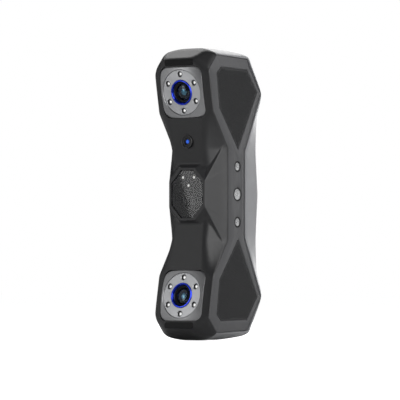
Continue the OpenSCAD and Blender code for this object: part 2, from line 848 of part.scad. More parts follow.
// Button i: dished cap, retaining flange and stem, along +X
module button(i) {
  flange_x = cover_in - button_flange_t - 0.15;
  color("#C6C8CB") stand() translate([0, button_y, button_zs[i]]) difference() {
    union() {
      pin_x(cap_r(i), flange_x, button_top);
      pin_x(cap_r(i) + button_gap + 0.4, flange_x, flange_x + button_flange_t);
      pin_x(1.2, stem_tip, flange_x + eps);
    }
    translate([button_top + cap_r(i) * 2.2, 0, 0]) sphere(r = cap_r(i) * 2.32, $fn = 64);
  }
}

module button_rings() {
  color("#1A1B1D") stand()
    for (i = [0, 1, 2]) translate([0, button_y, button_zs[i]]) difference() {
      pin_x(ring_r(i), cover_in + 0.01, half_w - 0.05);
      pin_x(cap_r(i) + button_gap, cover_in - 1, half_w + 1);
    }
}

module button_board() {
  color("#1F5C34") stand()
    translate([button_board_x, button_y - 4, -button_pitch - 10.5])
      cube([board_t, 8, 2 * button_pitch + 21]);
}

module tact_switches() {
  color("#2A2B2D") stand()
    for (z = button_zs)
      translate([button_board_x + board_t + 0.01, button_y - switch_size / 2, z - switch_size / 2])
        cube([switch_t, switch_size, switch_size]);
}

// Screws through the rear shell's side walls into the front shell's tabs
module shell_screws() {
  color("#77797D") stand()
    for (s = [0, 1], t = [-1, 1])
      mirror([s, 0, 0]) translate([0, tab_y, t * tab_z]) screw_x(side_wall_out - 0.02, wall + 2.6);
}

front_shell();
rear_shell();
side_cover(1);  // right_side_cover
side_cover(-1);  // left_side_cover
grip_pad(1, 1);  // right_upper_grip_pad
grip_pad(1, -1);  // right_lower_grip_pad
grip_pad(-1, 1);  // left_upper_grip_pad
grip_pad(-1, -1);  // left_lower_grip_pad
camera_bezel(1);  // upper_camera_bezel
camera_bezel(-1);  // lower_camera_bezel
light_ring_disc(1);  // upper_light_ring_disc
light_ring_disc(-1);  // lower_light_ring_disc
lens_trim_ring(1);  // upper_lens_trim_ring
lens_trim_ring(-1);  // lower_lens_trim_ring
lens_barrel(1);  // upper_lens_barrel
lens_barrel(-1);  // lower_lens_barrel
lens_glass(1);  // upper_lens_glass
lens_glass(-1);  // lower_lens_glass
led_board(1);  // upper_led_board
led_board(-1);  // lower_led_board
ring_leds(1);  // upper_ring_leds
ring_leds(-1);  // lower_ring_leds
camera_module(1);  // upper_camera_module
camera_module(-1);  // lower_camera_module
camera_bracket(1);  // upper_camera_bracket
camera_bracket(-1);  // lower_camera_bracket
camera_screws(1);  // upper_camera_screws
camera_screws(-1);  // lower_camera_screws
camera_cable(1);  // upper_camera_cable
camera_cable(-1);  // lower_camera_cable
end_strip(1);  // upper_end_strip
end_strip(-1);  // lower_end_strip
colour_camera_bezel();
colour_camera_lens();
colour_camera_module();
window_glass();
window_mask();
flash_leds();
flash_led_board();
projector_module();
projector_lens();
optical_bench();
bench_screws();
main_board();
board_standoffs();
board_screws();
board_chips();
thermal_pad();
heat_sink();
usb_connector();
port_plate();
button(1);  // scan_button
button(0);  // upper_button
button(2);  // lower_button
button_rings();
button_board();
tact_switches();
shell_screws();
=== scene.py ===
import json
import math

import bmesh
import bpy
import numpy as np
from mathutils import Matrix, Vector


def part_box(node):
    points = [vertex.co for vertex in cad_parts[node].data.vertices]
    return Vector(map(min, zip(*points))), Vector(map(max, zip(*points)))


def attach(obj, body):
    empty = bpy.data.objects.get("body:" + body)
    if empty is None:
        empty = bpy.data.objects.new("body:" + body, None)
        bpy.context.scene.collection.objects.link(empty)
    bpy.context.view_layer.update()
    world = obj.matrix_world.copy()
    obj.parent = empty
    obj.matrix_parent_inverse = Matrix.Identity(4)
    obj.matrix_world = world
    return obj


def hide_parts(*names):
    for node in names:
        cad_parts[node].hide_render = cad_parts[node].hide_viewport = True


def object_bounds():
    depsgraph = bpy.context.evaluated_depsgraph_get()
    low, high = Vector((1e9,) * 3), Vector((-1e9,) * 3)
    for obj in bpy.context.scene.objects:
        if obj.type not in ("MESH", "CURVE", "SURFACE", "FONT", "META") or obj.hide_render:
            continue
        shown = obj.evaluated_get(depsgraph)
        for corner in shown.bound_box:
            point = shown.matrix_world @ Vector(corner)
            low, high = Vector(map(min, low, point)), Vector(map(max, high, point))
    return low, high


# Handheld 3D scanner: the looks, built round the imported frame.
# Shapes are worked out in millimetres about the middle of the length and stored in metres.

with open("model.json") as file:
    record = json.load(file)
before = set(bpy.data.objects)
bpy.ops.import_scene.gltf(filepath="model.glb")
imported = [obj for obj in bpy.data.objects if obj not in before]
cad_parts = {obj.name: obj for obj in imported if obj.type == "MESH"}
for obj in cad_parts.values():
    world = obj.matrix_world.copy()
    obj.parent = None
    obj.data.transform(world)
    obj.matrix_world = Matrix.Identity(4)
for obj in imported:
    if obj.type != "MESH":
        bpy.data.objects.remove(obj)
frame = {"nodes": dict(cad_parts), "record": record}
cad_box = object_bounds()
NODES = frame["nodes"]
BODY = "scanner_body"
MM = 0.001
ENDS = {1: "upper", -1: "lower"}
SIDES = {1: "right", -1: "left"}
BUTTONS = ("upper_button", "scan_button", "lower_button")


# ---- places, from the frame

def box_mm(node):
    """Lowest and highest corner of a CAD node, in millimetres about mid-length."""
    lo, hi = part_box(node)
    return (np.array(lo) - MID) / MM, (np.array(hi) - MID) / MM


def centre_mm(node):
    lo, hi = box_mm(node)
    return (lo + hi) / 2


MID = np.array([0.0, 0.0, (cad_box[0].z + cad_box[1].z) / 2])
INSIDE = 0.004
HALF_L = (cad_box[1].z - cad_box[0].z) / 2 / MM - INSIDE
HALF_W = (cad_box[1].x - cad_box[0].x) / 2 / MM - INSIDE
HALF_D = -cad_box[0].y / MM - INSIDE
DISC_T = 1.5


def camera_frame(side):
    """Origin on the disc's face, local x, local y and outward axis of a camera, in mm."""
    end = ENDS[side]
    disc = centre_mm(end + "_light_ring_disc")
    axis = disc - centre_mm(end + "_led_board")
    axis[0] = 0
    axis /= np.linalg.norm(axis)
    across = np.array([1.0, 0.0, 0.0])
    up = np.cross(axis, across)
    if up[2] < 0:
        up = -up
    return disc + axis * DISC_T / 2, across, up, axis


# ---- mesh helpers

def add_to_scene(obj):
    bpy.context.scene.collection.objects.link(obj)
    return obj


def make_object(name, verts_mm, faces, smooth=35):
    """A closed mesh from points in mm about mid-length, shaded smooth below an angle in degrees."""
    mesh = bpy.data.meshes.new(name)
    pts = np.asarray(verts_mm, float) * MM + MID
    mesh.from_pydata(pts.tolist(), [], [list(map(int, f)) for f in faces])
    mesh.validate()
    obj = add_to_scene(bpy.data.objects.new(name, mesh))
    set_smooth(obj, smooth)
    recalc(obj)
    return obj


def set_smooth(obj, degrees):
    mesh = obj.data
    mesh.polygons.foreach_set("use_smooth", [True] * len(mesh.polygons))
    mesh.set_sharp_from_angle(angle=math.radians(degrees))


def recalc(obj):
    """Makes every face point outwards."""
    bm = bmesh.new()
    bm.from_mesh(obj.data)
    bmesh.ops.recalc_face_normals(bm, faces=bm.faces)
    bm.to_mesh(obj.data)
    bm.free()


def apply_modifiers(obj, smooth=35):
    """Bakes the modifiers of obj into its mesh."""
    graph = bpy.context.evaluated_depsgraph_get()
    graph.update()
    mesh = bpy.data.meshes.new_from_object(obj.evaluated_get(graph))
    obj.modifiers.clear()
    old = obj.data
    obj.data = mesh
    mesh.name = obj.name
    bpy.data.meshes.remove(old)
    set_smooth(obj, smooth)


def cut(obj, cutters, smooth=35, operation="DIFFERENCE"):
    """Booleans obj with each cutter, and removes the cutters."""
    for cutter in cutters:
        m = obj.modifiers.new("cut", "BOOLEAN")
        m.operation = operation
        m.solver = "MANIFOLD"
        m.object = cutter
    apply_modifiers(obj, smooth)
    for cutter in cutters:
        bpy.data.objects.remove(cutter)


def bevel(obj, width, segments=2, angle=30, smooth=35):
    m = obj.modifiers.new("bevel", "BEVEL")
    m.width = width * MM
    m.segments = segments
    m.limit_method = "ANGLE"
    m.angle_limit = math.radians(angle)
    m.harden_normals = False
    apply_modifiers(obj, smooth)


def prism(name, outline, place, depth0, depth1):
    """A closed prism: outline points (u, v) carried by place(u, v, depth) between two depths."""
    n = len(outline)
    verts = [place(u, v, depth0) for u, v in outline] + [place(u, v, depth1) for u, v in outline]
    faces = [list(range(n)), list(range(2 * n - 1, n - 1, -1))]
    faces += [[(i + 1) % n, i, n + i, n + (i + 1) % n] for i in range(n)]
    return make_object(name, verts, faces)


def loft(name, rings, smooth=35, close=True):
    """Rings of the same number of 3D points, joined in turn and capped."""
    n = len(rings[0])
    verts = [p for ring in rings for p in ring]
    faces = []
    for k in range(len(rings) - 1):
        a, b = k * n, (k + 1) * n
        faces += [[a + i, a + (i + 1) % n, b + (i + 1) % n, b + i] for i in range(n)]
    if close:
        faces += [list(range(n - 1, -1, -1)), list(range((len(rings) - 1) * n, len(rings) * n))]
    return make_object(name, verts, faces, smooth)


def lathe(name, profile, origin, across, up, axis, segments=96, smooth=35, closed=True):
    """Profile points (radius, height) turned about axis. closed joins the last point to the first."""
    verts, faces, rows = [], [], []
    for r, h in profile:
        row = []
        if r < 1e-6:
            row = [len(verts)] * segments
            verts.append(origin + axis * h)
        else:
            for i in range(segments):
                a = 2 * math.pi * i / segments
                row.append(len(verts))
                verts.append(origin + axis * h + r * (math.cos(a) * across + math.sin(a) * up))
        rows.append(row)
    for p, q in zip(rows, rows[1:] + ([rows[0]] if closed else [])):
        for i in range(segments):
            j = (i + 1) % segments
            f = [p[i], p[j], q[j], q[i]]
            f = [v for k, v in enumerate(f) if v not in f[:k]]
            if len(f) > 2:
                faces.append(f)
    return make_object(name, verts, faces, smooth)


def circle(r, count):
    """Points on a circle about the origin."""
    return [(r * math.cos(2 * math.pi * i / count), r * math.sin(2 * math.pi * i / count))
            for i in range(count)]


def dome(radius, base, rise, start=0.15, count=8):
    """Profile points up a dome, from just above its rim to just short of its top."""
    return [(radius * math.cos(t), base + rise * math.sin(t)) for t in np.linspace(start, 1.5, count)]


def rounded(points, radius, steps=6):
    """A closed outline with each corner rounded; radius is one number or one for each corner."""
    out = []
    n = len(points)
    for i in range(n):
        p = Vector(points[i])
        a = Vector(points[i - 1]) - p
        b = Vector(points[(i + 1) % n]) - p
        r = radius[i] if hasattr(radius, "__len__") else radius
        half = a.angle(b) / 2
        reach = min(r / math.tan(half), a.length * 0.45, b.length * 0.45)
        r = reach * math.tan(half)
        p0 = p + a.normalized() * reach
        p1 = p + b.normalized() * reach
        centre = p + (a.normalized() + b.normalized()).normalized() * (r / math.sin(half))
        v0, v1 = p0 - centre, p1 - centre
        turn = v0.angle_signed(v1)
        for k in range(steps + 1):
            t = -turn * k / steps
            out.append((centre.x + v0.x * math.cos(t) - v0.y * math.sin(t),
                        centre.y + v0.x * math.sin(t) + v0.y * math.cos(t)))
    return out


def rectangle(w, h, radius, steps):
    """A rounded rectangle about the origin, from its half sizes."""
    return rounded([(w, h), (-w, h), (-w, -h), (w, -h)], radius, steps)


def inset(points, distance):
    """A closed outline moved inwards by distance, for outlines given counter-clockwise."""
    out = []
    n = len(points)
    for i in range(n):
        p0, p1, p2 = (np.array(points[i - 1]), np.array(points[i]), np.array(points[(i + 1) % n]))
        e0, e1 = p1 - p0, p2 - p1
        n0 = np.array([-e0[1], e0[0]]) / np.linalg.norm(e0)
        n1 = np.array([-e1[1], e1[0]]) / np.linalg.norm(e1)
        m = n0 + n1
        out.append(tuple(p1 + m * distance / (1 + n0 @ n1)))
    return out


def counter_clockwise(points):
    area = sum(points[i - 1][0] * points[i][1] - points[i][0] * points[i - 1][1]
               for i in range(len(points)))
    return points if area > 0 else points[::-1]


# ---- materials

def new_material(name):
    mat = bpy.data.materials.new(name)
    mat.use_nodes = True
    tree = mat.node_tree
    tree.nodes.clear()
    out = tree.nodes.new("ShaderNodeOutputMaterial")
    shader = tree.nodes.new("ShaderNodeBsdfPrincipled")
    tree.links.new(shader.outputs[0], out.inputs[0])
    return mat, tree, shader


def set_values(target, **values):
    """Sets a node's inputs by name, with _ for a space."""
    for key, value in values.items():
        target.inputs[key.replace("_", " ")].default_value = value


def node(tree, kind, **inputs):
    n = tree.nodes.new(kind)
    set_values(n, **inputs)
    return n


def noise(tree, **inputs):
    """Noise fixed to the object."""
    place = tree.nodes.new("ShaderNodeTexCoord")
    n = node(tree, "ShaderNodeTexNoise", **inputs)
    tree.links.new(place.outputs["Object"], n.inputs["Vector"])
    return n.outputs["Fac"]


def spread(tree, value, low, high, **inputs):
    """value mapped to low..high, from 0..1 unless inputs say otherwise."""
    n = node(tree, "ShaderNodeMapRange", To_Min=low, To_Max=high, **inputs)
    tree.links.new(value, n.inputs["Value"])
    return n.outputs["Result"]


def colour_mix(tree, factor, a, b):
    """A mix of two colours, where a may also be another node's output."""
    mix = tree.nodes.new("ShaderNodeMix")
    mix.data_type = "RGBA"
    tree.links.new(factor, mix.inputs["Factor"])
    if isinstance(a, bpy.types.NodeSocket):
        tree.links.new(a, mix.inputs["A"])
    else:
        mix.inputs["A"].default_value = tuple(a) + (1,)
    mix.inputs["B"].default_value = tuple(b) + (1,)
    return mix.outputs["Result"]


def surface(name, colour, rough, metal=0.0, grain=1400.0, grain_depth=0.00003, colour_spread=0.12,
            spots=90.0, edge_highlight=None, coat=0.0, gloss=0.5):
    """A moulded or machined surface: cloudy colour, fine grain in roughness and bump, and sharp edges
    lightened as a painted highlight.
    """
    mat, tree, shader = new_material(name)
    link = tree.links.new
    cloud = noise(tree, Scale=spots, Detail=3.0, Roughness=0.55)
    fine = noise(tree, Scale=grain, Detail=2.0, Roughness=0.6)
    low = [c * (1 - colour_spread) for c in colour]
    high = [min(1, c * (1 + colour_spread)) for c in colour]
    tint = colour_mix(tree, cloud, low, high)
    if edge_highlight:
        # painted highlight: convex sharp edges mixed towards the lighter edge colour
        shape = tree.nodes.new("ShaderNodeNewGeometry")
        edge = spread(tree, shape.outputs["Pointiness"], 0.0, EDGE_HIGHLIGHT, From_Min=0.52, From_Max=0.62)
        tint = colour_mix(tree, edge, tint, edge_highlight)
    link(tint, shader.inputs["Base Color"])
    roughness = spread(tree, fine, max(0.02, rough - ROUGH_SPREAD), min(1.0, rough + ROUGH_SPREAD))
    link(roughness, shader.inputs["Roughness"])
    if grain_depth:
        bump = node(tree, "ShaderNodeBump", Strength=1.0, Distance=grain_depth)
        link(fine, bump.inputs["Height"])
        link(bump.outputs["Normal"], shader.inputs["Normal"])
    set_values(shader, Metallic=metal, Specular_IOR_Level=gloss)
    if coat:
        set_values(shader, Coat_Weight=coat, Coat_Roughness=0.12)
    return mat


def projector_glass():
    """Clear coated glass with a faint cloud in its roughness."""
    mat, tree, shader = new_material("projector_lens")
    cloud = noise(tree, Scale=60.0, Detail=2.0)
    tree.links.new(spread(tree, cloud, 0.02, 0.05), shader.inputs["Roughness"])
    tint = colour_mix(tree, cloud, (0.4, 0.5, 0.8), (0.44, 0.55, 0.88))
    tree.links.new(tint, shader.inputs["Base Color"])
    set_values(shader, Transmission_Weight=1.0, IOR=1.5, Coat_Weight=1.0, Coat_Roughness=0.02,
               Coat_Tint=(0.6, 0.8, 1.0, 1))
    return mat


def window_glass():
    """Dark glass that lets part of the mask behind it show."""
    mat, tree, shader = new_material("window_glass_tint")
    cloud = noise(tree, Scale=40.0, Detail=2.0)
    tree.links.new(spread(tree, cloud, 0.01, 0.03), shader.inputs["Roughness"])
    set_values(shader, Base_Color=(0.02, 0.021, 0.023, 1), Alpha=0.25, IOR=1.6, Coat_Weight=1.0)
    return mat


def lens_coating(name, rim, deep, glow, alpha=1.0):
    """A coated lens seen from outside, in clouds of two colours that also feed its emission; with glow
    above zero that is a painted glow, as a lens is no lamp.
    """
    mat, tree, shader = new_material(name)
    link = tree.links.new
    ramp = tree.nodes.new("ShaderNodeValToRGB")
    for stop, place, colour in zip(ramp.color_ramp.elements, (0.3, 0.7), (deep, rim)):
        stop.position = place
        stop.color = colour + (1,)
    link(noise(tree, Scale=180.0, Detail=2.0), ramp.inputs["Fac"])
    link(ramp.outputs["Color"], shader.inputs["Base Color"])
    # the cloud colour also drives emission: a painted glow wherever glow is above zero
    link(ramp.outputs["Color"], shader.inputs["Emission Color"])
    set_values(shader, Emission_Strength=glow, Roughness=0.04, IOR=1.8, Coat_Weight=1.0,
               Coat_Roughness=0.02, Coat_Tint=(0.6, 0.8, 1, 1), Alpha=alpha)
    return mat


def led_dome():
    """A white lamp dome, unlit, with a faint glow that is a painted highlight."""
    mat, tree, shader = new_material("led_dome")
    tint = colour_mix(tree, noise(tree, Scale=700.0, Detail=2.0), (0.8, 0.8, 0.78), (0.95, 0.95, 0.93))
    tree.links.new(tint, shader.inputs["Base Color"])
    # emission: painted highlight standing in for the unlit domes' shine
    set_values(shader, Roughness=0.15, Coat_Weight=1.0, Emission_Color=(1, 1, 0.98, 1),
               Emission_Strength=0.8)
    return mat


# strongest mix of the painted edge highlight
EDGE_HIGHLIGHT = 0.25
ROUGH_SPREAD = 0.08
FINE = 0.000006
MEDIUM = 0.000012
MATERIALS = {
    # the shells' and side cover's lighter second colours are painted highlights on their sharp edges
    "front_shell": surface("front_shell_plastic", (0.022, 0.0222, 0.0235), 0.42, edge_highlight=(0.1, 0.1, 0.105)),
    "rear_shell": surface("rear_shell_plastic", (0.25, 0.252, 0.262), 0.38, edge_highlight=(0.34, 0.34, 0.35)),
    "side_cover": surface("side_cover_plastic", (0.075, 0.0755, 0.079), 0.38, edge_highlight=(0.13, 0.13, 0.135)),
    "grip_pad": surface("grip_rubber", (0.016, 0.0163, 0.0175), 0.5, grain=2600, colour_spread=0.2),
    "camera_bezel": surface("bezel_metal", (0.36, 0.362, 0.37), 0.32, metal=0.8, grain=2200,
                            grain_depth=MEDIUM),
    "ring_disc": surface("disc_metal", (0.56, 0.565, 0.58), 0.4, metal=0.65, grain=2600,
                         grain_depth=MEDIUM),
    "trim_ring": surface("blue_anodised", (0.004, 0.035, 0.62), 0.2, metal=0.85, grain=1800,
                         grain_depth=FINE, coat=0.6),
    "lens_barrel": surface("barrel_black", (0.008, 0.008, 0.009), 0.35, grain=1800, grain_depth=MEDIUM),
    "circuit_board": surface("solder_mask", (0.01, 0.075, 0.03), 0.35, spots=900, coat=0.4),
    "module_body": surface("module_black", (0.008, 0.0082, 0.009), 0.5, gloss=0.15),
    "bench_metal": surface("machined_aluminium", (0.5, 0.505, 0.52), 0.34, metal=0.95, grain=2000,
                           grain_depth=0.00001),
    "screw_steel": surface("plated_steel", (0.55, 0.56, 0.57), 0.26, metal=1.0, grain=2400,
                           grain_depth=FINE),
    "ribbon": surface("polyimide", (0.42, 0.16, 0.03), 0.3, spots=300, coat=0.5),
    "end_strip": surface("strip_black", (0.006, 0.006, 0.0065), 0.45, grain_depth=FINE, gloss=0.2),
    "window_mask": surface("mask_black", (0.026, 0.0262, 0.028), 0.6, grain_depth=0, gloss=0.1),
    "standoff_brass": surface("brass", (0.62, 0.42, 0.13), 0.28, metal=1.0, grain_depth=FINE),
    "chip": surface("chip_plastic", (0.012, 0.012, 0.014), 0.5, grain=3000),
    "thermal_pad": surface("thermal_pad_grey", (0.25, 0.33, 0.45), 0.7, grain=900, grain_depth=0.00006),
    "connector_steel": surface("connector_steel", (0.6, 0.6, 0.62), 0.22, metal=1.0, grain_depth=FINE),
    "port_plate": surface("port_metal", (0.5, 0.505, 0.52), 0.35, metal=0.8, grain=2400,
                          grain_depth=0.00001),
    "button_metal": surface("button_metal", (0.5, 0.505, 0.51), 0.24, metal=0.9, grain=2400,
                            grain_depth=FINE),
    "button_ring": surface("ring_black", (0.01, 0.01, 0.011), 0.55, grain_depth=FINE),
    # ring and flash light domes: their faint glow is a painted highlight
    "led": led_dome(),
    "led_cup": surface("led_cup_black", (0.01, 0.01, 0.011), 0.45, grain_depth=FINE),
    "lens_glass": lens_coating("lens_glass", (0.012, 0.012, 0.016), (0.003, 0.004, 0.01), 0.0, 0.45),
    "inner_lens": surface("inner_lens_coating", (0.15, 0.55, 0.85), 0.12, metal=0.95, grain_depth=0,
                          colour_spread=0.3, spots=500, coat=1.0),
    # painted glow: the colour camera's lens glows blue though it is no lamp
    "colour_lens": lens_coating("colour_lens", (0.01, 0.12, 0.7), (0.01, 0.1, 0.5), 0.6),
    "projector_lens": projector_glass(),
    "window_glass": window_glass(),
    "mouth": surface("mouth_grey", (0.06, 0.06, 0.063), 0.35, grain_depth=0.000004),
    # near black: black plastic plus painted shade of the projector's deep inside
    "mouth_dark": surface("mouth_black_painted_shade", (0.002, 0.002, 0.0022), 0.7, grain_depth=0.000002, gloss=0.05),
    "phosphor": surface("phosphor", (0.7, 0.62, 0.12), 0.5, grain=3000, grain_depth=0.000004),
}


def piece(obj, slot, *nodes, body=BODY, material=None):
    """Gives obj the material for its slot and its body, and hides the CAD nodes it stands for."""
    obj.data.materials.clear()
    obj.data.materials.append(material or MATERIALS[slot])
    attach(obj, body)
    if nodes:
        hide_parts(*nodes)
    return obj


# ---- the body's outside form

def smax(a, b, k):
    """Larger of a and b with the edge between them rounded over k."""
    h = np.maximum(k - np.abs(a - b), 0) / k
    return np.maximum(a, b) + h * h * k / 4


def smin(a, b, k):
    return -smax(-a, -b, k)


def unit(v):
    v = np.asarray(v, float)
    return v / np.linalg.norm(v)


def eased(keys, blur):
    """A function of |z| through (z, value) keys, with its corners eased over blur mm."""
    grid = np.arange(-160, 160.01, 0.5)
    zs, vs = zip(*keys)
    values = np.interp(np.abs(grid), zs, vs)
    reach = int(6 * blur)
    kernel = np.exp(-0.5 * (np.arange(-reach, reach + 1) * 0.5 / blur) ** 2)
    kernel /= kernel.sum()
    values = np.convolve(np.pad(values, reach, mode="edge"), kernel, mode="valid")
    return lambda z: np.interp(z, grid, values)


CAM_O, _, _, CAM_N = camera_frame(1)
TOE = math.atan2(-CAM_N[2], -CAM_N[1])
WAIST = 34.0
HEAD_LOW = CAM_O[2] - 14.4
FACE_DROP = 0.7


def face_y(z):
    """Depth of the plane that the camera discs lie in."""
    return CAM_O[1] - (z - CAM_O[2]) * math.tan(TOE)


FRONT_Y = eased([(0, -21.6), (21, -21.6), (34, -24.0), (HEAD_LOW, face_y(HEAD_LOW) + FACE_DROP),
                 (92, face_y(92) + FACE_DROP), (98.3, -HALF_D + 0.2), (130, -HALF_D + 0.1)], 2.2)
FRONT_W = eased([(0, 14.8), (22, 14.8), (WAIST, 15.2), (HEAD_LOW, 18.9), (80, 19.5), (92, 18.8),
                 (130, 18.4)], 2.5)
SIDE_F = eased([(0, -8.3), (WAIST - 0.5, -8.3), (HEAD_LOW, -26.6), (80, -30.4), (92, -32.2),
                (130, -32.2)], 1.0)
SIDE_R = eased([(0, 13.2), (WAIST - 2.5, 13.2), (76, 35.2), (130, 36.0)], 1.0)
BACK_W = eased([(0, 21.0), (22, 20.2), (WAIST, 19.8), (58, 19.8), (76, 24.8), (130, 24.8)], 2.2)
BACK_Y = eased([(0, HALF_D), (22, HALF_D - 0.8), (WAIST, HALF_D - 1.1), (58, HALF_D - 0.4),
                (72, HALF_D), (130, HALF_D)], 3.0)

TURRET_Y = -HALF_D + 10.9
OCT_W, OCT_H = 16.2, 19.4
OCT_X, OCT_Z = 7.4, 10.0


def plane(point, normal):
    normal = unit(normal)
    return normal, float(normal @ np.asarray(point, float))


END_CHAMFER = plane((0, -HALF_D, 98.8), (0, -0.528, 0.849))
TOP_SLOPE = plane((0, 8.5, HALF_L), (0, 0.196, 0.981))
TOP_SIDE = plane((13, 0, HALF_L), (0.385, 0, 0.923))
REAR_DIAGONAL = plane((0, HALF_D, 77), (0, 0.839, 0.544))
FRONT_CORNER = plane((12.9, -HALF_D + 0.2, 99), (0.564, -0.613, 0.554))
TURRET_SIDE = plane((OCT_W, TURRET_Y, 0), (0.889, -0.458, 0))
TURRET_TOP = plane((0, TURRET_Y, OCT_H), (0, -0.5, 0.866))
TURRET_DIAGONAL = plane((OCT_W, TURRET_Y, OCT_Z), (0.584, -0.6, 0.547))
TURRET_CREASE = plane((OCT_W, TURRET_Y, OCT_Z), (-0.21, -0.84, 0.5))


def off(plane_, x, y, z):
    n, d = plane_
    return n[0] * x + n[1] * y + n[2] * z - d


def body_distance(x, y, z):
    """About the distance outside the body's surface, negative inside; symmetric in x and z."""
    x, z = np.abs(x), np.abs(z)
    fy, fw, sf = FRONT_Y(z), FRONT_W(z), SIDE_F(z)
    sr, bw, by = SIDE_R(z), BACK_W(z), BACK_Y(z)
    front = (fy - y) * 0.98
    fx, fz = HALF_W - fw, sf - fy
    flank = (fz * (x - HALF_W) - fx * (y - sf)) / np.hypot(fx, fz)
    rx, ry = HALF_W - bw, by - sr
    rear_flank = (ry * (x - HALF_W) + rx * (y - sr)) / np.hypot(rx, ry)
    d = smax(front, flank, 3.2)
    d = smax(d, x - HALF_W, 0.9)
    d = smax(d, rear_flank, 1.2)
    d = smax(d, y - by, 3.4)
    d = smax(d, off(FRONT_CORNER, x, y, z), 3.5)
    d = smax(d, off(END_CHAMFER, x, y, z), 1.6)
    d = smax(d, off(REAR_DIAGONAL, x, y, z), 4.0)
    top = smax(z - HALF_L, off(TOP_SIDE, x, y, z), 3.0)
    top = smax(top, off(TOP_SLOPE, x, y, z), 3.0)
    d = smax(d, top, 2.2)
    wall = smax(off(TURRET_TOP, x, y, z), off(TURRET_DIAGONAL, x, y, z), 0.3)
    frustum = smax(smax(wall, off(TURRET_SIDE, x, y, z), 0.6), TURRET_Y - y, 0.25)
    frustum = smax(frustum, y + 8, 1.0)
    boss = smax(off(TURRET_SIDE, x, y, z), off(TURRET_CREASE, x, y, z), 0.8)
    boss = smax(smax(boss, TURRET_Y - y, 0.25), smax(x - HALF_W, y + 4, 0.9), 0.9)
    return np.maximum(smin(d, smin(frustum, boss, 0.3), 1.4), x - HALF_W)


def cast(origin, direction, grow):
    """Where each ray from inside meets the surface grown by grow mm."""
    low = np.zeros(direction.shape[:-1])
    high = np.full(direction.shape[:-1], 75.0)
    for _ in range(26):
        mid = (low + high) / 2
        p = origin + direction * mid[..., None]
        inside = body_distance(p[..., 0], p[..., 1], p[..., 2]) < grow
        low = np.where(inside, mid, low)
        high = np.where(inside, high, mid)
    return origin + direction * ((low + high) / 2)[..., None]


def body_mesh(grow, around, step):
    """The closed body surface as rings round its length, with domed grids over both ends."""
    axis_y = 3.0
    cap_z = HALF_L - 24
    theta = np.linspace(0, 2 * np.pi, around, endpoint=False)
    flat = np.stack([np.cos(theta), np.sin(theta), np.zeros(around)], -1)
    tilt = np.linspace(np.pi / 2, 0, max(6, int(50 / step)), endpoint=False)[1:]

    def fan(t):
        """Ray directions tilted by t from the ring's plane."""
        return np.stack([flat[:, 0] * np.cos(t), flat[:, 1] * np.cos(t), np.full(around, np.sin(t))], -1)

    rings = [(-cap_z, fan(-t)) for t in tilt]
    rings += [(z, flat) for z in np.linspace(-cap_z, cap_z, int(2 * cap_z / step) | 1)]
    rings += [(cap_z, fan(t)) for t in tilt[::-1]]
    origin = np.array([[[0, axis_y, z]] for z, _ in rings])
    direction = np.array([d for _, d in rings])
    pts = cast(origin, direction, grow)
    poles = [cast(np.array([0, axis_y, s * cap_z]), np.array([0, 0, s * 1.0]), grow) for s in (-1, 1)]
    count = len(rings)
    verts = np.concatenate([pts.reshape(-1, 3), np.array(poles)])
    index = np.arange(count * around).reshape(count, around)
    nxt = np.roll(index, -1, axis=1)
    quads = np.stack([index[:-1], nxt[:-1], nxt[1:], index[1:]], -1).reshape(-1, 4)
    low_pole, high_pole = count * around, count * around + 1
    faces = quads.tolist()
    faces += [[low_pole, int(nxt[0, i]), int(index[0, i])] for i in range(around)]
    faces += [[high_pole, int(index[-1, i]), int(nxt[-1, i])] for i in range(around)]
    return verts, faces


AROUND = 560
STEP = 0.6
SEAM = 0.44
WALL = 2.2
SIDE_OUT = box_mm("right_side_cover")[0][0]
SIDE_IN = SIDE_OUT - WALL


def both_ends(half, mirror):
    """A run of values at the upper end, with its mirror image at the lower end."""
    other = [mirror(v) for v in reversed(half)]
    return other[-1:] + half + other[:-1]


def flip(point):
    return point[0], -point[1]


COVER_FRONT = [(-7.7, 34), (-26, 60.5), (-31.5, 91), (-21.5, 102)]
COVER_OUTLINE = both_ends(COVER_FRONT + [(16.5, 100.6), (34.3, 75.5), (13.5, 32)], flip)
COVER_RADII = both_ends([1.0, 1.2, 1.5, 2.5, 4.0, 2.0, 1.2], float)
POCKET_RADII = [r + 0.15 for r in COVER_RADII]
RIDGE_OUTLINE = both_ends([(-0.9, 31), (-20.3, 62.7), (-24, 88.9), (-17.8, 94.9), (16.7, 94.2),
                           (30.9, 76.1), (10, 33)], flip)
PAD_OUTLINE = [(-17, 93.1), (-22.3, 88.3), (-18.9, 63.1), (4.7, 33), (29.1, 75.9), (15.9, 92.4)]
FRONT_REGION = both_ends(COVER_FRONT + [(-21.5, 130), (-60, 130)], flip)
BEZEL_HALF = 18.8
BEZEL_CORNER = 6.0
BEZEL_SINK = 2.9
DISC_R = 16.8
TRIM_R = 9.3
COVER_EDGE_X = HALF_W - 0.75
PORT_CORNER = 2.0
KNURL_PITCH = 1.7
KNURL_HEIGHT = 0.46
LED_COUNT = 6
LED_CIRCLE = 13.6
CROWN = 0.05
HOLE_R = 2.15
DOME_R = 1.0
STRIP_HALF_H = 2.3
STRIP_RISE = -0.15
FLASH_PLACES = [(-5, 12.3), (5, 12.3), (0, 6.3)]
MOUTH = (-6.5, 6.5, -9.1, -0.7)
RING_W = 0.9
DISH = 0.3
COLOUR_Z = centre_mm("colour_camera_bezel")[2]
COLOUR_FACE = box_mm("colour_camera_bezel")[0][1]
FRONT_AXES = (np.array([1.0, 0, 0]), np.array([0, 0, 1.0]), np.array([0, -1.0, 0]))
SIDE_AXES = (np.array([0, 1.0, 0]), np.array([0, 0, 1.0]), np.array([1.0, 0, 0]))


def grown(points, distance):
    return inset(counter_clockwise(points), -distance)


def side_place(u, v, depth):
    """Outline (y, z) at x = depth."""
    return (depth, u, v)


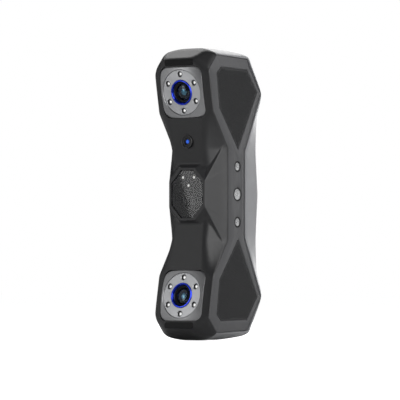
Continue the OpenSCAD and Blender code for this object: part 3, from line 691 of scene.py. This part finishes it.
def front_place(u, v, depth):
    """Outline (x, z) at y = depth."""
    return (u, depth, v)


def camera_place(side):
    o, across, up, axis = camera_frame(side)
    return lambda u, v, depth: o + across * u + up * v + axis * depth


def body_solid(name, grow, around, step, clip=None):
    verts, faces = body_mesh(grow, around, step)
    if clip:
        verts[:, 0] = np.clip(verts[:, 0], -clip, clip)
    return make_object(name, verts, faces)


def axes_at(place, u=0.0, v=0.0):
    """Origin and local axes of a place at (u, v)."""
    o = np.array(place(u, v, 0.0), float)
    return [o] + [np.array(place(u + du, v + dv, dd), float) - o
                  for du, dv, dd in ((1, 0, 0.0), (0, 1, 0.0), (0, 0, 1.0))]


def lathe_cutter(name, profile, place):
    """A closed cutter from (radius, depth) points turned about a place's axis."""
    return lathe(name, profile, *axes_at(place), segments=64, closed=False)


def bezel_outline(grow):
    h = BEZEL_HALF + grow
    return rectangle(h, h, BEZEL_CORNER + grow, 8)


def shell_cutters():
    """Everything that opens the front shell."""
    out = []
    for side in (1, -1):
        out.append(prism("bezel_pocket", bezel_outline(SEAM / 2), camera_place(side), 6, -BEZEL_SINK))
        out.append(prism("camera_bore", circle(14, 60), camera_place(side), 0, -8))
    out.append(prism("window_pocket", grown(WINDOW, SEAM / 2), front_place,
                     TURRET_Y - 5, TURRET_Y + 2.2))
    out.append(prism("window_bore", grown(WINDOW, -1.6), front_place, TURRET_Y, TURRET_Y + 9))
    out.append(lathe_cutter("colour_bore", [(0, -8), (5.2, -8), (5.2, 6), (0, 6)],
                            lambda u, v, d: (u, COLOUR_FACE - d, v + COLOUR_Z)))
    return out


def window_outline():
    """The window's octagon, its corners cut as the turret's are."""
    w, h = box_mm("window_glass")[1][[0, 2]]
    x, z = w - (OCT_W - OCT_X), h - (OCT_H - OCT_Z)
    return [(w, z), (x, h), (-x, h), (-w, z), (-w, -z), (-x, -h), (x, -h), (w, -z)]


WINDOW = window_outline()


def cover_pockets():
    outline = rounded(grown(COVER_OUTLINE, SEAM / 2), POCKET_RADII, 4)
    return [prism("cover_pocket", outline, side_place, side * 30, side * SIDE_OUT) for side in (1, -1)]


def build_shells():
    """The front and rear shells, split along the seam round the optical face."""
    front = body_solid("front_shell_skin", 0.0, AROUND, STEP)
    cut(front, [body_solid("inner_form", -WALL, 160, 1.6, clip=SIDE_IN)])
    rear = add_to_scene(front.copy())
    rear.data = front.data.copy()
    rear.name = "rear_shell_skin"
    region = counter_clockwise(FRONT_REGION)
    front_keep = prism("front_region", inset(region, SEAM / 2), side_place, -40, 40)
    rear_drop = prism("front_region_wide", inset(region, -SEAM / 2), side_place, -40, 40)
    cut(front, [front_keep], operation="INTERSECT")
    cut(rear, [rear_drop])
    cut(front, cover_pockets() + shell_cutters())
    cut(rear, cover_pockets() + [port_recess()])
    piece(front, "front_shell", "front_shell")
    piece(rear, "rear_shell", "rear_shell")


def port_recess():
    """The recess in the lower end that the port plate sits in."""
    lo, hi = box_mm("port_plate")
    corners = [(hi[0], hi[1]), (lo[0], hi[1]), (lo[0], lo[1]), (hi[0], lo[1])]
    outline = rounded(grown(corners, 0.15), PORT_CORNER, 6)
    return prism("port_recess", outline, lambda u, v, d: (u, v, d), -HALF_L - 2, -HALF_L + 12)


def pad_outline(upper):
    """The pad outline at one end, (y, z)."""
    return counter_clockwise(PAD_OUTLINE if upper else [flip(p) for p in PAD_OUTLINE])


def at_x(x, outline):
    return [(x, y, z) for y, z in outline]


def pad_well(upper):
    """The sloping well that a pad sits in."""
    pad = pad_outline(upper)
    mouth, floor = rounded(inset(pad, -0.95), 1.2, 4), rounded(inset(pad, -0.15), 0.8, 4)
    return loft("pad_well", [at_x(HALF_W + 0.05, mouth), at_x(HALF_W - 0.45, floor),
                             at_x(HALF_W - 1.2, floor)])


def button_bore(name):
    """The bore in the right cover that a button's ring sits in."""
    c = centre_mm(name)
    r = ring_outer(name) + 0.05
    return lathe_cutter("button_bore", [(0, -3), (r, -3), (r, 0.5), (0, 0.5)],
                        lambda u, v, d: (HALF_W + d, c[1] + u, c[2] + v))


def build_side_cover(side):
    """A faceted cover: outer facets up to a ridge, then the flat that carries the pads and buttons."""
    outline = counter_clockwise(COVER_OUTLINE)
    ridge = counter_clockwise(RIDGE_OUTLINE)
    base = rounded(inset(outline, SEAM / 2), COVER_RADII, 4)
    lip = rounded(inset(outline, SEAM / 2 + 0.25), COVER_RADII, 4)
    rings = [at_x(SIDE_OUT + 0.05, base), at_x(COVER_EDGE_X - 0.35, base), at_x(COVER_EDGE_X, lip),
             at_x(HALF_W - 0.1, rounded(inset(ridge, -0.35), [0.8] * len(ridge), 4)),
             at_x(HALF_W, rounded(inset(ridge, 0.35), [0.6] * len(ridge), 4))]
    name = SIDES[side] + "_side_cover"
    obj = loft(name + "_skin", rings, smooth=8)
    cutters = [pad_well(True), pad_well(False)]
    if side > 0:
        cutters += [button_bore(b) for b in BUTTONS]
    cut(obj, cutters, smooth=12)
    if side < 0:
        mirror_x(obj)
    bevel(obj, 0.12, 2, 20, smooth=25)
    piece(obj, "side_cover", name)


def mirror_x(obj):
    for v in obj.data.vertices:
        v.co.x = -v.co.x
    obj.data.flip_normals()


def button_radius(name):
    lo, hi = box_mm(name)
    return (hi[2] - lo[2]) / 2


def ring_outer(name):
    """Outer radius of the dark ring round a button."""
    return button_radius(name) + 0.25 + RING_W


def build_pad(side, upper):
    """A rubber pad with a diamond knurl of small pyramids, bonded into its well."""
    pad = pad_outline(upper)
    edge = rounded(inset(pad, 0.1), 0.7, 4)
    top = rounded(inset(pad, 0.55), 0.5, 4)
    face_x = HALF_W - 0.25
    rim = loft("pad_base", [at_x(HALF_W - 1.15, edge), at_x(face_x - 0.4, edge),
                            at_x(face_x - 0.24, top)], smooth=20)
    knurl = knurl_mesh(rounded(inset(pad, 0.75), 0.4, 4), face_x - 0.25, KNURL_PITCH, KNURL_HEIGHT)
    name = SIDES[side] + ("_upper" if upper else "_lower") + "_grip_pad"
    obj = join([rim, knurl], name + "_skin", 5)
    if side < 0:
        mirror_x(obj)
    piece(obj, "grip_pad", name)


def inside_outline(points, y, z):
    """Which points (y, z) lie inside a closed outline."""
    hit = np.zeros(y.shape, bool)
    for (y0, z0), (y1, z1) in zip(points, points[1:] + points[:1]):
        crosses = (z0 > z) != (z1 > z)
        with np.errstate(divide="ignore", invalid="ignore"):
            at_y = (y1 - y0) * (z - z0) / (z1 - z0) + y0
        hit ^= crosses & (y < at_y)
    return hit


def knurl_mesh(outline, x, pitch, height):
    """Four-sided pyramids on a diamond lattice, wherever the whole diamond fits the outline."""
    ys = np.arange(-40, 40, pitch / 2)
    zs = np.arange(-110, 110, pitch / 2)
    cells = [(y, z) for i, y in enumerate(ys) for j, z in enumerate(zs) if (i + j) % 2 == 0]
    cy, cz = np.array(cells).T
    reach = pitch / 2 * 0.92
    keep = np.ones(len(cy), bool)
    for dy, dz in ((reach, 0), (-reach, 0), (0, reach), (0, -reach)):
        keep &= inside_outline(outline, cy + dy, cz + dz)
    verts, faces = [], []
    for y, z in zip(cy[keep], cz[keep]):
        b = len(verts)
        verts += [(x, y + reach, z), (x, y, z + reach), (x, y - reach, z), (x, y, z - reach),
                  (x + height, y + reach * 0.1, z), (x + height, y, z + reach * 0.1),
                  (x + height, y - reach * 0.1, z), (x + height, y, z - reach * 0.1)]
        faces += [[b + k, b + (k + 1) % 4, b + 4 + (k + 1) % 4, b + 4 + k] for k in range(4)]
        faces += [[b + 4, b + 5, b + 6, b + 7], [b + 3, b + 2, b + 1, b]]
    return make_object("knurl", verts, faces, 5)


def join(objs, name, smooth):
    """One object from several."""
    bm = bmesh.new()
    for o in objs:
        bm.from_mesh(o.data)
    mesh = bpy.data.meshes.new(name)
    bm.to_mesh(mesh)
    bm.free()
    for o in objs:
        bpy.data.objects.remove(o)
    obj = add_to_scene(bpy.data.objects.new(name, mesh))
    set_smooth(obj, smooth)
    return obj


# ---- cameras

def radial_reach(outline, count):
    """Distance from the origin to a closed outline along count equal angles."""
    pts = np.array(outline + outline[:1])
    ang = 2 * np.pi * np.arange(count) / count
    reach = np.zeros(count)
    for k, a in enumerate(ang):
        d = np.array([math.cos(a), math.sin(a)])
        best = 0
        for p, q in zip(pts[:-1], pts[1:]):
            e = q - p
            den = d[0] * e[1] - d[1] * e[0]
            if abs(den) < 1e-12:
                continue
            t = (p[0] * e[1] - p[1] * e[0]) / den
            s = (p[0] * d[1] - p[1] * d[0]) / den
            if t > 0 and -1e-9 <= s <= 1 + 1e-9:
                best = max(best, t)
        reach[k] = best
    return ang, reach


def bezel_drop(r):
    """How far the bezel's face falls away at radius r."""
    t = np.clip((r - DISC_R) / 7.0, 0, 1)
    return 1.9 * t ** 1.25


def build_bezel(side):
    end = ENDS[side]
    place = camera_place(side)
    count = 192
    ang, reach = radial_reach(bezel_outline(0), count)
    rings = []

    def ring(radius, depth):
        rings.append([place(r * math.cos(a), r * math.sin(a), h) for r, a, h in
                      zip(np.broadcast_to(radius, (count,)), ang, np.broadcast_to(depth, (count,)))])

    inner = DISC_R + 0.12
    ring(inner, -DISC_T)
    ring(inner, -0.25)
    ring(inner + 0.2, 0.0)
    for t in np.linspace(0.12, 1, 9):
        r = inner + 0.2 + (reach - 0.35 - inner - 0.2) * t
        ring(r, -bezel_drop(r))
    ring(reach - 0.1, -bezel_drop(reach) - 0.1)
    ring(reach, -bezel_drop(reach) - 0.4)
    ring(reach, -BEZEL_SINK + 0.1)
    ring(np.full(count, 10.0), -BEZEL_SINK + 0.1)
    ring(np.full(count, 10.0), -DISC_T - 0.02)
    ring(inner, -DISC_T - 0.02)
    obj = loft(end + "_camera_bezel_skin", rings[:-1], smooth=30, close=False)
    n = len(rings[0])
    close_ring(obj, n, len(rings) - 1)
    piece(obj, "camera_bezel", end + "_camera_bezel")


def close_ring(obj, n, rows):
    """Joins the last ring of a lofted band back to its first."""
    bm = bmesh.new()
    bm.from_mesh(obj.data)
    bm.verts.ensure_lookup_table()
    a = (rows - 1) * n
    for i in range(n):
        j = (i + 1) % n
        bm.faces.new([bm.verts[a + i], bm.verts[a + j], bm.verts[j], bm.verts[i]])
    bmesh.ops.recalc_face_normals(bm, faces=bm.faces)
    bm.to_mesh(obj.data)
    bm.free()
    set_smooth(obj, 30)


def led_places():
    """Centres of the ring lights on a disc, in its own plane."""
    turns = [math.radians(30 + 360 / LED_COUNT * k) for k in range(LED_COUNT)]
    return [(LED_CIRCLE * math.cos(a), LED_CIRCLE * math.sin(a)) for a in turns]


def camera_lathe(name, profile, side, u=0.0, v=0.0, segments=96, smooth=35, closed=True):
    return lathe(name, profile, *axes_at(camera_place(side), u, v), segments, smooth, closed)


def build_disc(side):
    """A slightly crowned disc with a plain hole for each ring light."""
    end = ENDS[side]
    crown = [(r, -CROWN * (r - TRIM_R - 0.28)) for r in np.linspace(TRIM_R + 0.28, DISC_R - 0.3, 6)]
    edge = crown[-1][1]
    disc = camera_lathe(end + "_light_ring_disc_skin",
                        [(TRIM_R + 0.08, -DISC_T), (TRIM_R + 0.08, -0.2)] + crown
                        + [(DISC_R - 0.05, edge - 0.22), (DISC_R - 0.05, -DISC_T)], side, segments=160)
    cutters = [camera_lathe("light_hole", [(0, -3), (HOLE_R, -3), (HOLE_R, -0.45), (HOLE_R + 0.6, 0.15),
                                           (HOLE_R + 0.6, 1), (0, 1)],
                            side, u, v, 48, closed=False) for u, v in led_places()]
    cut(disc, cutters, smooth=25)
    piece(disc, "ring_disc", end + "_light_ring_disc")


def build_lights(side):
    """Ring lights: a dark cup with a white dome at the bottom of each hole."""
    end = ENDS[side]
    light = [(0, -2.9), (DOME_R, -2.9), (DOME_R, -1.9)] + dome(DOME_R, -1.9, 0.75) + [(0, -1.15)]
    cup = [(HOLE_R - 0.08, -2.8), (HOLE_R - 0.08, -0.55), (HOLE_R - 0.2, -0.5), (DOME_R + 0.25, -2.2),
           (DOME_R + 0.1, -2.8)]
    domes = [camera_lathe("light", light, side, u, v, 32, closed=False) for u, v in led_places()]
    cups = [camera_lathe("cup", cup, side, u, v, 48) for u, v in led_places()]
    piece(join(domes, end + "_ring_leds_skin", 40), "led", end + "_ring_leds")
    piece(join(cups, end + "_ring_led_cups", 30), "led", end + "_ring_leds", material=MATERIALS["led_cup"])


def build_optics(side):
    """Blue ring, stepped barrel and lens of one camera."""
    end = ENDS[side]
    ring = camera_lathe(end + "_lens_trim_ring_skin",
                        [(TRIM_R, -2.4), (TRIM_R, 0.2), (TRIM_R - 0.25, 0.55), (TRIM_R - 0.9, 0.6),
                         (TRIM_R - 1.15, 0.3), (TRIM_R - 1.25, -0.5), (7.75, -1.1), (7.75, -2.4)],
                        side, segments=128, smooth=25)
    piece(ring, "trim_ring", end + "_lens_trim_ring")
    barrel = camera_lathe(end + "_lens_barrel_skin",
                          [(7.6, -6), (7.6, -1.3), (7.45, -1.1), (7.25, -1.3), (7.1, -2.0), (6.95, -2.05),
                           (6.8, -2.6), (6.6, -2.65), (6.45, -3.2), (6.3, -3.3), (5.9, -4.4), (5.4, -6)],
                          side, segments=128, smooth=25)
    piece(barrel, "lens_barrel", end + "_lens_barrel")
    front = [(0, -5.2), (5.9, -5.2), (6.25, -3.1)] + dome(6.25, -3.1, 1.7, 0.12, 14) + [(0, -1.4)]
    lens = camera_lathe(end + "_lens_glass_skin", front, side, smooth=50, closed=False)
    piece(lens, "lens_glass", end + "_lens_glass")
    inner = [(0, -3.6), (2.2, -3.5), (2.6, -3.0)] + dome(2.6, -3.0, 0.7) + [(0, -2.3)]
    element = camera_lathe(end + "_inner_lens", inner, side, segments=64, smooth=50, closed=False)
    piece(element, "lens_glass", end + "_lens_glass", material=MATERIALS["inner_lens"])
    iris = camera_lathe(end + "_iris", [(5.8, -4.9), (5.8, -4.3), (4.4, -3.4), (4.2, -3.2), (3.9, -3.3),
                                        (3.0, -3.6), (3.0, -4.9)], side, segments=96, smooth=25)
    piece(iris, "lens_barrel", end + "_lens_barrel")


def build_end_strip(side):
    """The dark strip let into the chamfered end."""
    end = ENDS[side]
    node_name = end + "_end_strip"
    lo, hi = box_mm(node_name)
    c = (lo + hi) / 2
    below, above = (cast(np.array([[0, 0, c[2] + dz]]), np.array([[0, -1.0, 0]]), 0.0)[0]
                    for dz in (-1.6, 1.6))
    up = unit(above - below)
    n = np.cross(up, [1.0, 0, 0])
    n = n if n[1] < 0 else -n
    c = (below + above) / 2 + [c[0], 0, 0]
    w = (hi[0] - lo[0]) / 2
    h = STRIP_HALF_H
    o = c + n * STRIP_RISE
    outline = rectangle(w, h, 1.6, 8)
    inner = rectangle(w - 0.3, h - 0.3, 1.3, 8)
    rings = [[o + np.array([u, 0, 0]) + up * v + n * rise for u, v in line]
             for line, rise in ((outline, -0.8), (outline, 0.2), (inner, 0.45))]
    obj = loft(end + "_end_strip_skin", rings, smooth=25)
    piece(obj, "end_strip", node_name)


# ---- colour camera, window, buttons

def build_colour_camera():
    o = np.array([0.0, COLOUR_FACE, COLOUR_Z])
    bezel = lathe("colour_camera_bezel_skin",
                  [(5.05, -4), (5.05, -0.3), (4.75, 0), (4.35, 0), (4.15, -0.3), (3.3, -0.55), (3.1, -0.4),
                   (2.8, -0.4), (2.6, -0.8), (1.5, -1.3), (1.5, -4)], o, *FRONT_AXES, 96, 25)
    piece(bezel, "lens_barrel", "colour_camera_bezel")
    front = [(0, -3.6), (1.45, -3.6), (1.45, -1.6)] + dome(1.45, -1.6, 0.8) + [(0, -0.8)]
    lens = lathe("colour_camera_lens_skin", front, o, *FRONT_AXES, 64, 50, closed=False)
    piece(lens, "lens_glass", "colour_camera_lens", material=MATERIALS["colour_lens"])


def at_y(y, outline):
    return [(x, y, z) for x, z in outline]


def build_window():
    """Dark cover glass over a mask with the projector's mouth and three flash lights."""
    lo, hi = box_mm("window_glass")
    edge = counter_clockwise(WINDOW)
    rings = [at_y(hi[1] - 0.08, edge), at_y(lo[1] + 0.3, edge), at_y(lo[1], inset(edge, 0.4))]
    piece(loft("window_glass_skin", rings, smooth=20), "window_glass", "window_glass")
    front, back = box_mm("window_mask")[0][1], box_mm("window_mask")[1][1]
    mask_edge = inset(edge, 0.1)
    mask = loft("window_mask_skin", [at_y(back, mask_edge), at_y(front, mask_edge)], smooth=20)
    x0, x1, z0, z1 = MOUTH
    mouth = rounded([(x1, z1), (x0, z1), (x0, z0), (x1, z0)], 0.5, 4)
    cutters = [prism("mouth", mouth, front_place, front - 1, back + 1)]
    hole = [(0, -4), (1.15, -4), (1.15, -0.4), (1.5, 0.05), (1.5, 1), (0, 1)]
    for x, z in FLASH_PLACES:
        cutters.append(lathe_cutter("flash_hole", hole, lambda u, v, d: (x + u, front - d, z + v)))
    cut(mask, cutters, smooth=20)
    piece(mask, "window_mask", "window_mask")
    build_mouth(front, *MOUTH)
    build_flash(front)


def build_mouth(front, x0, x1, z0, z1):
    """The projector's stepped mouth behind the mask: back wall, upright rib, stepped blocks and a lip. The
    back wall is black plastic darkened to near black, painted shade for the depth inside.
    """
    def block(name, xa, xb, ya, yb, za, zb):
        b = prism(name, [(xb, zb), (xa, zb), (xa, za), (xb, za)], front_place, front + ya, front + yb)
        bevel(b, 0.12, 2, 30)
        return b
    h = z1 - z0
    parts = [block("rib", x0 + 1.7, x0 + 2.6, 0.5, 1.3, z0, z1),
             block("step", x0 + 6.4, x1 - 0.1, 0.35, 1.35, z1 - h * 0.3, z1 - h * 0.06),
             block("well", x0 + 8.2, x1 - 0.5, 0.7, 1.35, z0 + h * 0.15, z1 - h * 0.36),
             block("lip", x0 + 9.0, x1 - 1.2, 0.3, 1.35, z0 + h * 0.02, z0 + h * 0.14)]
    piece(join(parts, "projector_mouth", 30), "module_body", material=MATERIALS["mouth"])
    # the back wall's near-black colour is partly painted shade
    back = block("projector_mouth_back", x0 - 0.1, x1 + 0.1, 1.27, 1.38, z0 - 0.1, z1 + 0.1)
    piece(back, "module_body", material=MATERIALS["mouth_dark"])


def build_flash(front):
    """Three small flash lights: a white dome in a yellow seat, in each hole of the mask."""
    light = [(0, -1.3), (0.95, -1.3), (0.95, -0.8)] + dome(0.95, -0.8, 0.6, 0.2, 6) + [(0, -0.2)]
    seat = [(0, -1.38), (1.12, -1.38), (1.12, -1.05), (1.0, -1.0), (0.98, -1.3), (0, -1.32)]
    places = [np.array([x, front, z]) for x, z in FLASH_PLACES]
    domes = [lathe("flash", light, o, *FRONT_AXES, 32, 40, closed=False) for o in places]
    chips = [lathe("chip", seat, o, *FRONT_AXES, 32, 40, closed=False) for o in places]
    piece(join(domes, "flash_leds_skin", 40), "led", "flash_leds")
    piece(join(chips, "flash_led_phosphor", 40), "led", "flash_leds", material=MATERIALS["phosphor"])


def build_buttons():
    """Three dished caps, with a raised ring on the scan button and an arrow head on the others."""
    for name in BUTTONS:
        lo, hi = box_mm(name)
        r = button_radius(name)
        back = lo[0] - hi[0]
        o = np.array([hi[0], *centre_mm(name)[1:]])
        rim = 0.28
        dish = r - rim - 0.12
        profile = [(0, back), (r * 0.45, back), (r * 0.45, -2.0), (r, -2.0), (r, -rim),
                   (r - 0.08, -0.08), (r - rim, 0), (dish, -0.04)]
        profile += [(dish * q, -0.04 - DISH * (1 - q * q)) for q in (0.9, 0.75, 0.55, 0.35, 0.15)]
        profile += [(0, -0.04 - DISH)]
        cap = lathe(name + "_cap", profile, o, *SIDE_AXES, 96, 30, closed=False)
        relief = target(o) if name == "scan_button" else chevron(o, r, 1 if name == "upper_button" else -1)
        piece(join([cap, relief], name + "_skin", 30), "button_metal", name, body=name)


def chevron(o, r, way):
    """A small raised arrow head on a dished button."""
    s = r * 0.42
    w = r * 0.2
    pts = [(-s, -s * 0.5), (0, s * 0.5), (s, -s * 0.5), (s, -s * 0.5 - w * 1.3), (0, s * 0.5 - w * 1.6),
           (-s, -s * 0.5 - w * 1.3)]
    pts = [(u, way * (v + w * 0.6)) for u, v in pts]
    return prism("chevron", counter_clockwise(pts), lambda u, v, d: (o[0] + d, o[1] + u, o[2] + v),
                 -DISH - 0.2, -0.06)


def target(o):
    """A small raised ring in the middle of the scan button."""
    profile = [(1.3, -0.5), (1.3, -0.16), (1.2, -0.08), (0.95, -0.08), (0.85, -0.16), (0.85, -0.5)]
    return lathe("target", profile, o, *SIDE_AXES, 64, 30)


def build_button_rings():
    lo, hi = box_mm("button_rings")
    back = lo[0] - hi[0]
    parts = []
    for name in BUTTONS:
        outer = ring_outer(name) - 0.06
        inner = button_radius(name) + 0.2
        profile = [(outer, back), (outer, -0.15), (outer - 0.12, 0), (inner + 0.15, 0), (inner, -0.2),
                   (inner, back)]
        parts.append(lathe("ring", profile, np.array([hi[0], *centre_mm(name)[1:]]), *SIDE_AXES, 96, 30))
    piece(join(parts, "button_rings_skin", 30), "button_ring", "button_rings")


# ---- nodes carried over from CAD

def finish_cad_nodes():
    """The CAD nodes that no piece replaces keep their shape and get their slot's material."""
    for sub in frame["record"]["subparts"]:
        obj = NODES.get(sub["node"])
        if obj is None or obj.hide_render:
            continue
        mat = MATERIALS[sub["material_slot"]]
        if len(obj.data.materials):
            for i in range(len(obj.data.materials)):
                obj.data.materials[i] = mat
        else:
            obj.data.materials.append(mat)


# ---- studio

AZIMUTH = 36.3
ELEVATION = -1.42
DISTANCE = 2.6
LENS = 315.9
AIM_RIGHT = -5.48
AIM_UP = -3.85
AMBIENT = 0.08
GLINT_TOP = (-7.2, 15.9)
GLINT_LOW = (0.4, -9.5)
PANEL_FAR = 1250.0
PANEL_W = 300.0
PANEL_H = 700.0
PANEL_POWER = 1.1


def direction(azimuth, elevation):
    """From the object towards a place at these angles, in degrees."""
    a, e = math.radians(azimuth), math.radians(elevation)
    return Vector((math.sin(a) * math.cos(e), -math.cos(a) * math.cos(e), math.sin(e)))


def build_camera():
    back = direction(AZIMUTH, ELEVATION)
    right = Vector((math.cos(math.radians(AZIMUTH)), math.sin(math.radians(AZIMUTH)), 0))
    up = back.cross(right)
    data = bpy.data.cameras.new("camera")
    data.lens = LENS
    data.sensor_width = 36
    data.clip_end = 50
    cam = add_to_scene(bpy.data.objects.new("camera", data))
    aim = Vector(MID) + (right * AIM_RIGHT + up * AIM_UP) * MM
    pos = aim + back * DISTANCE
    cam.matrix_world = Matrix.Translation(pos) @ Matrix((right, up, back)).transposed().to_4x4()
    bpy.context.scene.camera = cam


def soft_box(name, size, power):
    data = bpy.data.lights.new(name, "AREA")
    data.shape = "RECTANGLE"
    data.size, data.size_y = size
    data.energy = power
    return add_to_scene(bpy.data.objects.new(name, data))


def area_light(name, aim_z, azimuth, elevation, distance, size, power):
    """A soft box that faces a height on the object's middle line from a given direction."""
    obj = soft_box(name, size, power)
    back = direction(azimuth, elevation)
    obj.location = Vector(MID) + Vector((0, 0, aim_z)) * MM + back * distance
    obj.rotation_euler = back.to_track_quat("Z", "Y").to_euler()


def build_stage():
    """A floor and a world that are white to the camera alone, so the world lights the object little."""
    scene = bpy.context.scene
    scene.view_settings.view_transform = "Standard"
    mesh = bpy.data.meshes.new("floor")
    r = 12.0
    mesh.from_pydata([(-r, -r, 0), (r, -r, 0), (r, r, 0), (-r, r, 0)], [], [[0, 1, 2, 3]])
    floor = add_to_scene(bpy.data.objects.new("floor", mesh))
    floor.location.z = -0.0005
    mat, tree, shader = new_material("floor_white")
    shader.inputs["Base Color"].default_value = (0.75, 0.75, 0.75, 1)
    shader.inputs["Roughness"].default_value = 0.9
    shader.inputs["Specular IOR Level"].default_value = 0.0
    glow = node(tree, "ShaderNodeEmission", Color=(1, 1, 1, 1), Strength=0.94)
    add = tree.nodes.new("ShaderNodeAddShader")
    ray = tree.nodes.new("ShaderNodeLightPath")
    seen = tree.nodes.new("ShaderNodeMixShader")
    tree.links.new(shader.outputs[0], add.inputs[0])
    tree.links.new(glow.outputs[0], add.inputs[1])
    tree.links.new(ray.outputs["Is Camera Ray"], seen.inputs[0])
    tree.links.new(shader.outputs[0], seen.inputs[1])
    tree.links.new(add.outputs[0], seen.inputs[2])
    tree.links.new(seen.outputs[0], tree.nodes["Material Output"].inputs[0])
    mesh.materials.append(mat)
    world = bpy.data.worlds.new("studio")
    scene.world = world
    world.use_nodes = True
    tree = world.node_tree
    bg = tree.nodes["Background"]
    bg.inputs["Color"].default_value = (1, 1, 1, 1)
    bg.inputs["Strength"].default_value = 1.0
    soft = node(tree, "ShaderNodeBackground", Color=(0.97, 0.98, 1, 1), Strength=AMBIENT)
    ray = tree.nodes.new("ShaderNodeLightPath")
    mix = tree.nodes.new("ShaderNodeMixShader")
    tree.links.new(ray.outputs["Is Camera Ray"], mix.inputs[0])
    tree.links.new(soft.outputs[0], mix.inputs[1])
    tree.links.new(bg.outputs[0], mix.inputs[2])
    tree.links.new(mix.outputs[0], tree.nodes["World Output"].inputs[0])


def mirror_panel():
    """A soft box whose slanted edge shows in the flat window glass, as seen by the main camera."""
    glass_y = box_mm("window_glass")[0][1]
    cam = (np.array(bpy.context.scene.camera.location) - MID) / MM
    behind = np.array([cam[0], 2 * glass_y - cam[1], cam[2]])

    def thrown(x, z):
        p = np.array([x, glass_y, z])
        return p + unit(p - behind) * PANEL_FAR

    top, low = thrown(*GLINT_TOP), thrown(*GLINT_LOW)
    edge = unit(top - low)
    toward = unit(thrown(0, 0) - np.array([0, glass_y, 0]))
    aside = np.cross(edge, toward)
    if aside @ (thrown(10, 0) - thrown(0, 0)) < 0:
        aside = -aside
    out = unit(np.cross(aside, edge))
    obj = soft_box("panel", (PANEL_W * MM, PANEL_H * MM), PANEL_POWER)
    if out @ toward < 0:
        aside, out = -aside, -out
        spot = (top + low) / 2 - aside * PANEL_W / 2
    else:
        spot = (top + low) / 2 + aside * PANEL_W / 2
    m = Matrix(np.array([aside, edge, out]).T.tolist()).to_4x4()
    obj.matrix_world = Matrix.Translation(Vector(spot * MM + MID)) @ m


def build_lights_rig():
    """Soft boxes: one wide at front left, two on the button side, one behind, one above and the panel."""
    area_light("fill", 0, -52, 8, 1.6, (2.0, 2.0), 6)
    area_light("key", 20, 72, 6, 1.3, (1.1, 1.8), 22)
    area_light("rim", 0, 196, 4, 1.2, (0.8, 1.8), 14)
    area_light("side", 0, 142, 4, 1.5, (1.0, 2.2), 6)
    area_light("top", 0, -123, 45, 1.5, (0.8, 0.8), 5)
    mirror_panel()


build_stage()
build_camera()
build_lights_rig()
build_shells()
for side in (1, -1):
    build_side_cover(side)
    build_pad(side, True)
    build_pad(side, False)
    build_bezel(side)
    build_disc(side)
    build_lights(side)
    build_optics(side)
    build_end_strip(side)
build_colour_camera()
build_window()
build_buttons()
build_button_rings()
finish_cad_nodes()
